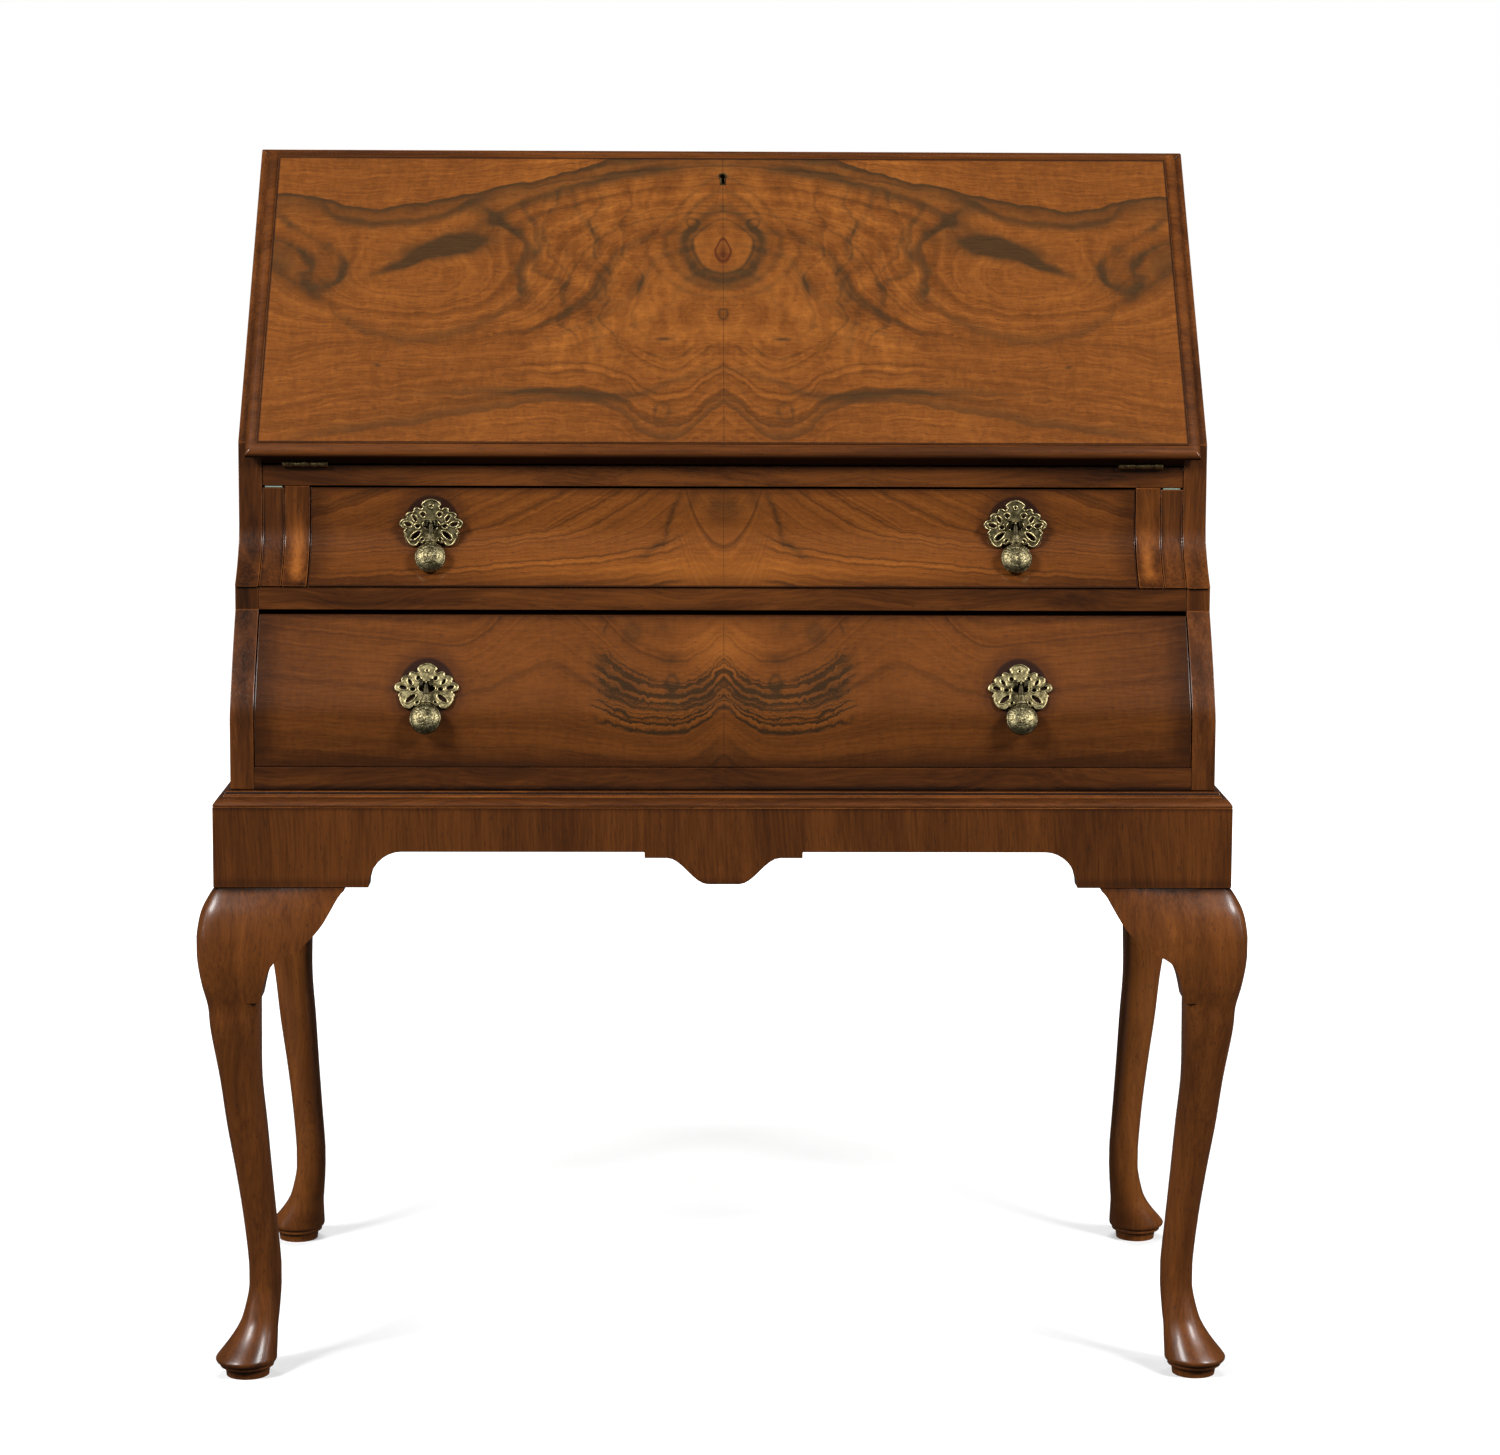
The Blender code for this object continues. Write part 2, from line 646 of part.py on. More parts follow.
def knee_outset(height):
    """How far the knee stands out in front of the apron's face at a height."""
    for lower, upper in zip(LEG_STATION_SHARES, LEG_STATION_SHARES[1:]):
        if height <= upper[0] * LEG_HEIGHT:
            share = (height / LEG_HEIGHT - lower[0]) / (upper[0] - lower[0])
            start, end = lower[2] - lower[1], upper[2] - upper[1]
            return (start + (end - start) * share) * LEG_STOCK
    return 0


def ear_rings(first_run, place):
    """Sections of a bracket beside a knee, along its run from the knee to its tip."""
    top = LEG_HEIGHT - SEAT_GAP
    rings = []
    for along, down in EAR_EDGE_SHARES:
        run = LEG_FACE + SEAT_GAP + EAR_LENGTH * along if along else first_run
        fade = 1 - along ** EAR_FADE_SHARE
        heights = [top - EAR_HEIGHT * down * step / EAR_STEPS for step in range(EAR_STEPS + 1)]
        ring = [place(run, -knee_outset(height) * fade, height) for height in heights]
        ring.append(place(run, EAR_THICKNESS, heights[-1]))
        ring.append(place(run, EAR_THICKNESS, top))
        rings.append(ring)
    return rings


def build_leg(name, sx, sy):
    knee_top = LEG_HEIGHT - SEAT_GAP
    rings = [leg_ring(row[1:], min(row[0] * LEG_HEIGHT, knee_top), sx, sy) for row in LEG_STATION_SHARES]
    near = APRON_THICKNESS + SEAT_GAP
    far = near + POST_SIZE
    axis = (sx * (HALF_STAND - (near + far) / 2), sy * (STAND_DEPTH / 2 - (near + far) / 2), 0)
    leg = loft(name, rings, LEG_WOOD, axis)
    leg.data.shade_smooth()
    leg.data.set_sharp_from_angle(angle=SHARP_ANGLE)
    x = sorted((sx * (HALF_STAND - near), sx * (HALF_STAND - far)))
    y = sorted((sy * (STAND_DEPTH / 2 - near), sy * (STAND_DEPTH / 2 - far)))
    join_block(leg, x, y, (LEG_HEIGHT - POST_ROOT, LEG_HEIGHT + POST_HEIGHT))

    def side_place(run, inward, height):
        return (sx * (HALF_STAND - inward), sy * (STAND_DEPTH / 2 - run), height)

    ear = loft(name + "_ear", ear_rings(LEG_FACE - EAR_ROOT, side_place), LEG_WOOD, collection=CUTTERS)
    combine(leg, ear, "UNION")
    return leg


def build_front_ear(name, sx):
    def front_place(run, inward, height):
        return (sx * (HALF_STAND - run), FRONT + inward, height)

    return loft(name, ear_rings(LEG_FACE + SEAT_GAP, front_place), LEG_WOOD)


def build_stand():
    half_inner = HALF_STAND - APRON_THICKNESS
    front_apron = build_front_apron()
    shift = SEAT_GAP / math.sqrt(2)
    for side, sign, x in (("left", -1, -HALF_STAND), ("right", 1, half_inner)):
        apron = build_side_apron("side_apron_" + side, x)
        corner = Vector((sign * HALF_STAND, FRONT, LEG_HEIGHT))
        mitre(front_apron, corner - Vector((sign * shift, 0, 0)), (sign, 1, 0))
        mitre(apron, corner + Vector((0, shift, 0)), (-sign, -1, 0))
    rail_half = half_inner - SEAT_GAP
    fillet_half = HALF_STAND - MOULDING_DEPTH - SEAT_GAP
    half = [(rail_half, APRON_TOP - BACK_RAIL_HEIGHT), (rail_half, APRON_TOP), (fillet_half, APRON_TOP),
            (fillet_half, CASE_FLOOR - SEAT_GAP)]
    outline_solid("back_rail", [half + [(-x, z) for x, z in reversed(half)]], APRON_THICKNESS, WALNUT,
                  front_frame(STAND_DEPTH / 2))
    build_moulding()
    for side, sx in (("left", -1), ("right", 1)):
        build_leg("front_leg_" + side, sx, -1)
        build_leg("rear_leg_" + side, sx, 1)
        build_front_ear("ear_" + side, sx)


# Case
def build_case():
    outline = profile_between(CASE_FLOOR, SLOPE_FOOT)
    outline += [(back(TOP_SETBACK), CASE_TOP), (back(CASE_BACK_SETBACK), CASE_TOP),
                (back(CASE_BACK_SETBACK), CASE_FLOOR)]
    slope_at_foot = TOP_SETBACK - TOP_THICKNESS / math.tan(SLOPE_ANGLE)
    top_outline = [(back(TOP_SETBACK), CASE_TOP), (back(CASE_BACK_SETBACK), CASE_TOP),
                   (back(CASE_BACK_SETBACK), TOP_FOOT), (back(slope_at_foot), TOP_FOOT)]
    top = outline_solid("top_board", [top_outline], CASE_WIDTH, WALNUT, side_frame(-HALF_CASE))
    shift = SEAT_GAP / math.sqrt(2)
    for side, sign, x in (("left", -1, -HALF_CASE), ("right", 1, HALF_INSIDE)):
        panel = outline_solid("side_" + side, [outline], SIDE_THICKNESS, WALNUT, side_frame(x))
        corner = Vector((sign * HALF_CASE, 0, CASE_TOP))
        mitre(panel, corner - Vector((0, 0, shift)), (-sign * TOP_THICKNESS, 0, SIDE_THICKNESS))
        mitre(top, corner - Vector((sign * shift, 0, 0)), (sign * TOP_THICKNESS, 0, -SIDE_THICKNESS))

    inside = (SEAT_GAP - HALF_INSIDE, HALF_INSIDE - SEAT_GAP)
    block("back_panel", inside, (back(PANEL_BACK), back(CASE_BACK_SETBACK)),
          (CASE_FLOOR, TOP_FOOT - SEAT_GAP), LINING)
    fronted_board("case_bottom", inside, CASE_FLOOR, LOWER_OPENING, back(CARCASS_BACK), WALNUT)
    fronted_board("dividing_rail", inside, DIVIDING_FOOT, UPPER_OPENING, back(RAIL_SETBACK + RAIL_DEPTH), WALNUT)
    block("dust_board", inside, (back(RAIL_SETBACK + RAIL_DEPTH + SEAT_GAP), back(CARCASS_BACK)),
          (UPPER_OPENING - DUST_BOARD_THICKNESS, UPPER_OPENING), LINING)
    bed = block("writing_bed", inside, (back(BED_SETBACK), back(CARCASS_BACK)), (BED_FOOT, BED_TOP), WALNUT)
    for side, x in (("left", (-HALF_UPPER - UPRIGHT_THICKNESS, -HALF_UPPER)),
                    ("right", (HALF_UPPER, HALF_UPPER + UPRIGHT_THICKNESS))):
        fronted_board("upright_" + side, x, UPPER_OPENING + SEAT_GAP, BED_FOOT - SEAT_GAP,
                      back(UPRIGHT_BACK_SETBACK), WALNUT)
    return top, bed


def build_pigeonholes():
    """A shelf with uprights below and above it, drawn as one outline."""
    foot = BED_TOP + SEAT_GAP
    shelf = BED_TOP + NEST_SHELF_RISE
    top = TOP_FOOT - SEAT_GAP
    half = HALF_INSIDE - SEAT_GAP

    def teeth(count, root, tip, direction):
        """Uprights along the shelf, from one end to the other."""
        points = []
        for index in range(1, count + 1):
            centre = direction * (2 * half * index / (count + 1) - half)
            first, last = centre - direction * NEST_BOARD / 2, centre + direction * NEST_BOARD / 2
            points += [(first, root), (first, tip), (last, tip), (last, root)]
        return points

    outline = [(-half, shelf)] + teeth(NEST_LOWER_COUNT, shelf, foot, 1) + [(half, shelf)]
    above = shelf + NEST_BOARD
    outline += [(half, above)] + teeth(NEST_UPPER_COUNT, above, top, -1) + [(-half, above)]
    outline_solid("pigeonholes", [outline], CARCASS_BACK - NEST_SETBACK, LINING,
                  front_frame(back(CARCASS_BACK)))


# Fall
def fall_point(along, out):
    """World point of a place on the closed fall."""
    return FALL_FRAME @ Vector((0, along, out))


def build_fall(top):
    body_half = HALF_INSIDE - FALL_SIDE_GAP
    body_low, body_high = FALL_BODY_START, FALL_LENGTH - LIP_OVERHANG
    lip_foot = SLOPE_STAND_OFF + SEAT_GAP
    lip_low = -FALL_LIP_DROP

    def level(half, low, high, out):
        return [(-half, low, out), (half, low, out), (half, high, out), (-half, high, out)]

    levels = [level(body_half, body_low, body_high, 0), level(body_half, body_low, body_high, lip_foot)]
    rise = FALL_THICKNESS - LIP_QUIRK - LIP_EDGE - lip_foot
    levels.append(level(FALL_HALF, lip_low, FALL_LENGTH, lip_foot))
    for step in range(LIP_STEPS + 1):
        turn = math.pi / 2 * step / LIP_STEPS
        inset = LIP_WIDTH * (1 - math.cos(turn))
        levels.append(level(FALL_HALF - inset, lip_low + inset, FALL_LENGTH - inset,
                            lip_foot + LIP_EDGE + rise * math.sin(turn)))
    levels.append(level(FALL_HALF - LIP_WIDTH, lip_low + LIP_WIDTH, FALL_LENGTH - LIP_WIDTH, FALL_THICKNESS))
    panel = loft("fall_panel", levels, FIGURED, frame=FALL_FRAME)

    half = body_half - LEATHER_MARGIN
    low, high = body_low + LEATHER_FOOT, body_low + LEATHER_FOOT + LEATHER_HEIGHT
    cut_block(panel, (-half, half), (low, high), (-OVERRUN, LEATHER_THICKNESS + SEAT_GAP), FALL_FRAME)
    leather = block("writing_leather", (SEAT_GAP - half, half - SEAT_GAP), (low + SEAT_GAP, high - SEAT_GAP),
                    (0, LEATHER_THICKNESS), LEATHER, FALL_FRAME)

    pocket = LOCK_WIDTH / 2 + SEAT_GAP
    lock_low = body_high - LOCK_LENGTH
    lock_out = (SEAT_GAP, SEAT_GAP + LOCK_DEPTH)
    cut_block(panel, (-pocket, pocket), (lock_low - SEAT_GAP, body_high + OVERRUN),
              (-OVERRUN, lock_out[1] + SEAT_GAP), FALL_FRAME)
    lock = block("lock_case", (-LOCK_WIDTH / 2, LOCK_WIDTH / 2), (lock_low, body_high), lock_out, BRASS,
                 FALL_FRAME)
    bolt_out = (lock_out[0] + LOCK_DEPTH / 2 - BOLT_THICKNESS / 2, lock_out[0] + LOCK_DEPTH / 2 + BOLT_THICKNESS / 2)
    bolt_high = body_high - SEAT_GAP
    bolt_low = bolt_high - BOLT_LENGTH
    slot = BOLT_WIDTH / 2 + SEAT_GAP
    cut_block(lock, (-slot, slot), (bolt_low - SEAT_GAP, body_high + OVERRUN),
              (bolt_out[0] - SEAT_GAP, bolt_out[1] + SEAT_GAP), FALL_FRAME)
    bolt = block("lock_bolt", (-BOLT_WIDTH / 2, BOLT_WIDTH / 2), (bolt_low, bolt_high), bolt_out, STEEL,
                 FALL_FRAME)

    def keyhole(grow):
        radius = KEYHOLE_RADIUS + grow
        half_slot = KEYHOLE_SLOT_WIDTH / 2 + grow
        bite = math.asin(half_slot / radius)
        sweep = 2 * math.pi - 2 * bite
        turns = [bite - math.pi / 2 + sweep * step / ROUND_SIDES for step in range(ROUND_SIDES + 1)]
        arc = [(radius * math.cos(turn), radius * math.sin(turn)) for turn in turns]
        foot = -KEYHOLE_SLOT_LENGTH - grow
        return arc + [(-half_slot, foot), (half_slot, foot)]

    key_along = FALL_LENGTH - KEYHOLE_BELOW_TOP
    liner_foot = FALL_THICKNESS - LINER_DEPTH

    def key_frame(out):
        return FALL_FRAME @ Matrix.Translation((0, key_along, out))

    cut_outline(panel, keyhole(0), FALL_THICKNESS, key_frame(lock_out[1]))
    cut_outline(panel, keyhole(LINER_WALL + SEAT_GAP), LINER_DEPTH + OVERRUN, key_frame(liner_foot - SEAT_GAP))
    liner = outline_solid("keyhole_liner", [keyhole(LINER_WALL), keyhole(0)], LINER_DEPTH, BRASS,
                          key_frame(liner_foot))

    # The strike plate lies where the bolt crosses the top board's underside
    crossing = [(TOP_FOOT - HINGE_POINT.z - out * math.cos(SLOPE_ANGLE)) / math.sin(SLOPE_ANGLE)
                for out in bolt_out]
    thrown = bolt_high + BOLT_TRAVEL
    slot_y = (fall_point(crossing[1], bolt_out[1]).y - BOLT_CLEARANCE,
              fall_point(thrown, bolt_out[0]).y + BOLT_CLEARANCE)
    slot_top = fall_point(thrown, bolt_out[1]).z + BOLT_CLEARANCE
    slot_x = (-BOLT_WIDTH / 2 - BOLT_CLEARANCE, BOLT_WIDTH / 2 + BOLT_CLEARANCE)
    plate_y = (slot_y[0] - STRIKE_RIM, slot_y[0] - STRIKE_RIM + STRIKE_DEPTH)
    plate_x = (-STRIKE_WIDTH / 2, STRIKE_WIDTH / 2)
    cut_block(top, (plate_x[0] - SEAT_GAP, plate_x[1] + SEAT_GAP), (plate_y[0] - SEAT_GAP, plate_y[1] + SEAT_GAP),
              (TOP_FOOT - OVERRUN, TOP_FOOT + STRIKE_THICKNESS + SEAT_GAP))
    cut_block(top, slot_x, slot_y, (TOP_FOOT, slot_top))
    strike = block("strike_plate", plate_x, plate_y, (TOP_FOOT, TOP_FOOT + STRIKE_THICKNESS), BRASS)
    cut_block(strike, slot_x, slot_y, (TOP_FOOT - OVERRUN, TOP_FOOT + STRIKE_THICKNESS + OVERRUN))
    return panel, [leather, lock, liner], bolt


def leaf_section(foot):
    """A hinge leaf in section, from its knuckle round the axis to its plate's far edge."""
    top = foot + LEAF_THICKNESS
    start = math.asin(top / KNUCKLE_RADIUS)
    end = math.asin(foot / KNUCKLE_RADIUS) + 2 * math.pi
    turns = [start + (end - start) * step / ROUND_SIDES for step in range(ROUND_SIDES + 1)]
    points = [(KNUCKLE_RADIUS * math.cos(turn), KNUCKLE_RADIUS * math.sin(turn)) for turn in turns]
    return points + [(LEAF_LENGTH, foot), (LEAF_LENGTH, top)]


def build_hinge(side, centre, panel, bed):
    """A butt hinge: a fixed leaf that holds the pin, and a leaf that turns on it."""
    low = centre - HINGE_WIDTH / 2
    pitch = HINGE_WIDTH / KNUCKLE_COUNT
    here = Matrix.Translation(HINGE_POINT)
    reach = KNUCKLE_RADIUS + OVERRUN

    def notch(leaf, index, frame):
        """Room for the other leaf's knuckle, out past the end on the last ones."""
        x = [low + pitch * index - SEAT_GAP / 2, low + pitch * (index + 1) + SEAT_GAP / 2]
        if index == 0:
            x[0] -= OVERRUN
        if index == KNUCKLE_COUNT - 1:
            x[1] += OVERRUN
        cut_block(leaf, x, (-reach, LEAF_START), (-reach, reach), frame)

    fixed = outline_solid("hinge_leaf_" + side, [leaf_section(-KNUCKLE_RADIUS)], HINGE_WIDTH, BRASS,
                          here @ side_frame(low))
    moving = outline_solid("fall_leaf_" + side, [leaf_section(0), circle(PIN_RADIUS + SEAT_GAP, ROUND_SIDES)],
                           HINGE_WIDTH, BRASS, FALL_FRAME @ side_frame(low))
    for index in range(KNUCKLE_COUNT):
        if index % 2:
            notch(fixed, index, here)
        else:
            notch(moving, index, FALL_FRAME)
    pin_half = HINGE_WIDTH / 2 - LEAF_THICKNESS
    join_rod(fixed, PIN_RADIUS, (centre - pin_half, 0, 0), (centre + pin_half, 0, 0), here)

    x = (low - SEAT_GAP, low + HINGE_WIDTH + SEAT_GAP)
    far = LEAF_LENGTH + SEAT_GAP
    cut_block(bed, x, (-reach, far), (-KNUCKLE_RADIUS - SEAT_GAP, reach), here)
    cut_block(panel, x, (-reach, far), (-reach, LEAF_THICKNESS + SEAT_GAP), FALL_FRAME)
    cut_block(panel, x, (-reach, LEAF_START), (-reach, KNUCKLE_RADIUS + SEAT_GAP), FALL_FRAME)
    return moving


# Lopers
def build_loper(side, sign):
    x = sorted((sign * (HALF_INSIDE - LOPER_GAP), sign * (HALF_INSIDE - LOPER_WIDTH + LOPER_GAP)))
    low, high = UPPER_OPENING + DRAWER_FOOT_GAP, BED_FOOT - UPPER_FRONT_GAP
    loper = fronted_board("loper_" + side, x, low, high, back(LOPER_BACK_SETBACK), WALNUT)
    start = back(UPPER_SETBACK) + BAIZE_MARGIN
    baize = block("baize_" + side, (x[0] + BAIZE_MARGIN, x[1] - BAIZE_MARGIN), (start, start + BAIZE_LENGTH),
                  (high + SEAT_GAP, high + SEAT_GAP + BAIZE_THICKNESS), BAIZE)
    slide = pivot("loper_slide_" + side, Matrix.Translation(((x[0] + x[1]) / 2, back(UPPER_SETBACK), low)))
    carry(slide, [loper, baize])


# Drawers
def build_drawer(name, half_opening, foot, high, side_height):
    """A drawer of five boards and the stop strip behind its front."""
    half = half_opening - SLIDE_GAP
    low = foot + DRAWER_FOOT_GAP
    front_back = profile_between(low, high)[-1][0] + DRAWER_FRONT_THICKNESS
    rear = back(DRAWER_BACK_SETBACK)
    groove = (low + DRAWER_BOTTOM_RISE, low + DRAWER_BOTTOM_RISE + DRAWER_BOTTOM_THICKNESS + 2 * SEAT_GAP)
    inner = half - DRAWER_SIDE_THICKNESS
    bottom_half = inner + DRAWER_GROOVE

    front = fronted_board(name + "_front", (-half, half), low, high, front_back, FIGURED)
    cut_block(front, (-bottom_half, bottom_half), (front_back - DRAWER_GROOVE, front_back + OVERRUN), groove)
    pieces = [front]
    for side, sign in (("left", -1), ("right", 1)):
        board = block(name + "_side_" + side, sorted((sign * inner, sign * half)), (front_back + SEAT_GAP, rear),
                      (low, low + side_height), LINING)
        cut_block(board, sorted((sign * (inner - OVERRUN), sign * bottom_half)),
                  (front_back - OVERRUN, rear + OVERRUN), groove)
        pieces.append(board)
    pieces.append(block(name + "_bottom", (SEAT_GAP - bottom_half, bottom_half - SEAT_GAP),
                        (front_back - DRAWER_GROOVE + SEAT_GAP, rear),
                        (groove[0] + SEAT_GAP, groove[1] - SEAT_GAP), LINING))
    pieces.append(block(name + "_back", (SEAT_GAP - inner, inner - SEAT_GAP), (rear - DRAWER_SIDE_THICKNESS, rear),
                        (groove[1], low + side_height), LINING))
    block(name + "_stop", (-STOP_WIDTH / 2, STOP_WIDTH / 2),
          (front_back + SEAT_GAP, front_back + SEAT_GAP + STOP_DEPTH),
          (foot + SEAT_GAP, foot + SEAT_GAP + STOP_HEIGHT), LINING)
    slide = pivot(name + "_slide", Matrix.Translation((0, front_back, low)))
    carry(slide, pieces)
    return front, slide


# Drop pulls
def plate_outline():
    def place(share_x, share_z):
        return (share_x * PLATE_HALF_WIDTH, (share_z - PLATE_PIVOT_SHARE) * PLATE_HEIGHT)

    right = [place(*row) for row in PLATE_OUTLINE_SHARES]
    left = [(-x, z) for x, z in reversed(right) if x > 0]
    return right + left


def plate_holes():
    """Slots and round holes, mirrored to both halves, with one window under the post."""
    holes = []
    for share_x, share_z, length_share, width_share, turn in PLATE_HOLE_SHARES:
        centre_x = share_x * PLATE_HALF_WIDTH
        centre_z = (share_z - PLATE_PIVOT_SHARE) * PLATE_HEIGHT
        lean = math.radians(turn)
        points = []
        for u, v in circle(PLATE_HALF_WIDTH, PLATE_HOLE_POINTS):
            long, short = u * length_share, v * width_share
            points.append((centre_x + long * math.cos(lean) - short * math.sin(lean),
                           centre_z + long * math.sin(lean) + short * math.cos(lean)))
        holes.append(points)
        if share_x > 0:
            holes.append([(-x, z) for x, z in points])
    return holes


def build_pull(name, seat, x, front, slide, shank, has_nut):
    """One pull on its seat, whose frame has X along the drawer, Y into the wood and Z up the face."""
    frame = Matrix.Translation((x, 0, 0)) @ seat
    plate_back = SEAT_GAP
    outlines = [plate_outline(), circle(POST_SHANK_RADIUS + SEAT_GAP, ROUND_SIDES)] + plate_holes()
    plate = outline_solid("backplate_" + name, outlines, PLATE_THICKNESS, BRASS, frame @ front_frame(-plate_back))
    # The plate follows the wood where the face hollows forwards
    bpy.context.view_layer.update()
    for vertex in plate.data.vertices:
        height = (plate.matrix_world @ vertex.co).z
        if height < HOLLOW_TOP and height > UPPER_OPENING:
            vertex.co.z += UPPER_SETBACK - setback_at(height)

    head_back = plate_back + PLATE_THICKNESS + SEAT_GAP
    axis_out = plate_back + PLATE_THICKNESS + POST_REACH
    half = POST_HEAD_HEIGHT / 2
    post = block("post_" + name, (-POST_HEAD_WIDTH / 2, POST_HEAD_WIDTH / 2), (-axis_out - half, -head_back),
                 (-half, half), BRASS, frame)
    cut_block(post, (-POST_SLOT_WIDTH / 2, POST_SLOT_WIDTH / 2),
              (-axis_out - half - OVERRUN, -axis_out + DROP_EYE_RADIUS + EYE_CLEARANCE), (-half - OVERRUN, half + OVERRUN),
              frame)
    bar_half = (POST_HEAD_WIDTH + POST_SLOT_WIDTH) / 4
    join_rod(post, POST_BAR_RADIUS, (-bar_half, -axis_out, 0), (bar_half, -axis_out, 0), frame)
    shank_start = -head_back - half / 2
    join_rod(post, POST_SHANK_RADIUS, (0, shank_start, 0), (0, shank, 0), frame)
    bore = POST_SHANK_RADIUS + SEAT_GAP
    if has_nut:
        nut_start = DRAWER_FRONT_THICKNESS + SEAT_GAP
        join_rod(post, POST_NUT_RADIUS, (0, nut_start, 0), (0, nut_start + POST_NUT_THICKNESS, 0), frame)
        cut_rod(front, bore, (0, -OVERRUN, 0), (0, DRAWER_FRONT_THICKNESS + OVERRUN, 0), frame)
    else:
        cut_rod(front, bore, (0, -OVERRUN, 0), (0, shank + SEAT_GAP, 0), frame)
    carry(slide, [plate, post])

    axis = frame @ Vector((0, -axis_out, 0))
    hang = Matrix.Translation(axis) @ Matrix.Rotation(-PULL_REST_TILT, 4, "X")
    rings = []
    for depth_share, width_share, flat_share in DROP_SHARES:
        width = width_share * DROP_BALL_RADIUS
        rings.append([(u, v * flat_share, -depth_share * DROP_LENGTH) for u, v in circle(width, DROP_SIDES)])
    drop = loft("drop_" + name, rings, BRASS, frame=hang)
    drop.data.shade_smooth()
    join_rod(drop, DROP_EYE_RADIUS, (-DROP_EYE_WIDTH / 2, 0, 0), (DROP_EYE_WIDTH / 2, 0, 0), hang)
    cut_rod(drop, POST_BAR_RADIUS + SEAT_GAP, (-DROP_EYE_WIDTH, 0, 0), (DROP_EYE_WIDTH, 0, 0), hang)
    carry(pivot("pull_pivot_" + name, hang, slide), [drop])


def build_drawers():
    upper_front, upper_slide = build_drawer("upper", HALF_UPPER, UPPER_OPENING, BED_FOOT - UPPER_FRONT_GAP,
                                            UPPER_SIDE_HEIGHT)
    lower_front, lower_slide = build_drawer("lower", HALF_INSIDE, LOWER_OPENING, DIVIDING_FOOT - LOWER_FRONT_GAP,
                                            LOWER_SIDE_HEIGHT)
    upper_seat = Matrix.Translation((0, back(UPPER_SETBACK), UPPER_OPENING + UPPER_PULL_RISE))
    height = LOWER_OPENING + LOWER_PULL_RISE
    (start, start_z), (end, end_z) = profile_span(height)
    lean = math.atan2(end - start, end_z - start_z)
    lower_seat = Matrix.Translation((0, back(setback_at(height)), height)) @ Matrix.Rotation(-lean, 4, "X")
    through = DRAWER_FRONT_THICKNESS + SEAT_GAP + POST_NUT_THICKNESS
    for side, x in (("left", -PULL_HALF_SPACING), ("right", PULL_HALF_SPACING)):
        build_pull("upper_" + side, upper_seat, x, upper_front, upper_slide, through + POST_TAIL, True)
        build_pull("lower_" + side, lower_seat, x, lower_front, lower_slide, POST_SHANK_LENGTH, False)


build_stand()
TOP, BED = build_case()
build_pigeonholes()
PANEL, FALL_FITTINGS, BOLT = build_fall(TOP)
LEAVES = [build_hinge("left", -HINGE_HALF_SPACING, PANEL, BED), build_hinge("right", HINGE_HALF_SPACING, PANEL, BED)]
FALL_PIVOT = pivot("fall_pivot", FALL_FRAME)
carry(FALL_PIVOT, [PANEL] + FALL_FITTINGS + LEAVES)
carry(pivot("bolt_slide", FALL_FRAME, FALL_PIVOT), [BOLT])
build_loper("left", -1)
build_loper("right", 1)
build_drawers()
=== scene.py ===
# %% [markdown]
# # A writing bureau on cabriole legs
# The bureau's solid parts come ready made, each in its own place and at its real size. This lesson
# dresses them: it eases their edges, carves the legs and the pulls finer, polishes the wood, and
# sets up a floor, soft light and a camera. The parts are loaded first.

# %% Load the solid parts
import json
import math

import bpy
from mathutils import Matrix, Vector


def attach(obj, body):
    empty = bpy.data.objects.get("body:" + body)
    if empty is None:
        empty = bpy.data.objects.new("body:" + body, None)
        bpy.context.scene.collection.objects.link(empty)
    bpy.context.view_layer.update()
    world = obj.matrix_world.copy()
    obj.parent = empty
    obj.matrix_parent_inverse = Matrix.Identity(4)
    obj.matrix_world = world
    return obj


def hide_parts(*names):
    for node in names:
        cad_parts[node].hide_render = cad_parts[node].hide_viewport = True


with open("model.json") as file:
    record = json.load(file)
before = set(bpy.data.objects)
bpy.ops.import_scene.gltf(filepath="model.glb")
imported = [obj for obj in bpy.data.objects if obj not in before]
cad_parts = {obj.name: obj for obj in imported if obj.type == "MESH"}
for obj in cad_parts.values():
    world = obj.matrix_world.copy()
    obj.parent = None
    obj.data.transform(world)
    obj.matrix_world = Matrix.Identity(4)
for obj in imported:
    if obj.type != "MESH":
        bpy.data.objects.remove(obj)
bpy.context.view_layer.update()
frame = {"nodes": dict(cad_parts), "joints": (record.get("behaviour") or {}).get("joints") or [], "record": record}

bodies = frame["record"]["behaviour"]["bodies"]
body_of_node = {node: body for body, nodes in bodies.items() for node in nodes}

# %% [markdown]
# ## The camera
# The photographer stood a little to the left of the middle, 2.95 m in front of the stand and a metre
# above the floor, and tipped the camera down by 6.4 degrees. A long lens keeps the sides nearly upright.
# The picture was trimmed afterwards, so the lens looks at a point above its middle: that is the shift.

# %% Place the camera
CAMERA_PLACE = Vector((-0.0309, -3.1711, 0.9938))
CAMERA_TURN = -0.0176
CAMERA_TIP = 0.112
CAMERA_ROLL = 0.0041
LENS_SHARE = 2.40572         # focal length in picture widths
MIDDLE_SHARE = 0.085         # how far the lens's axis lies above the picture's middle, in widths

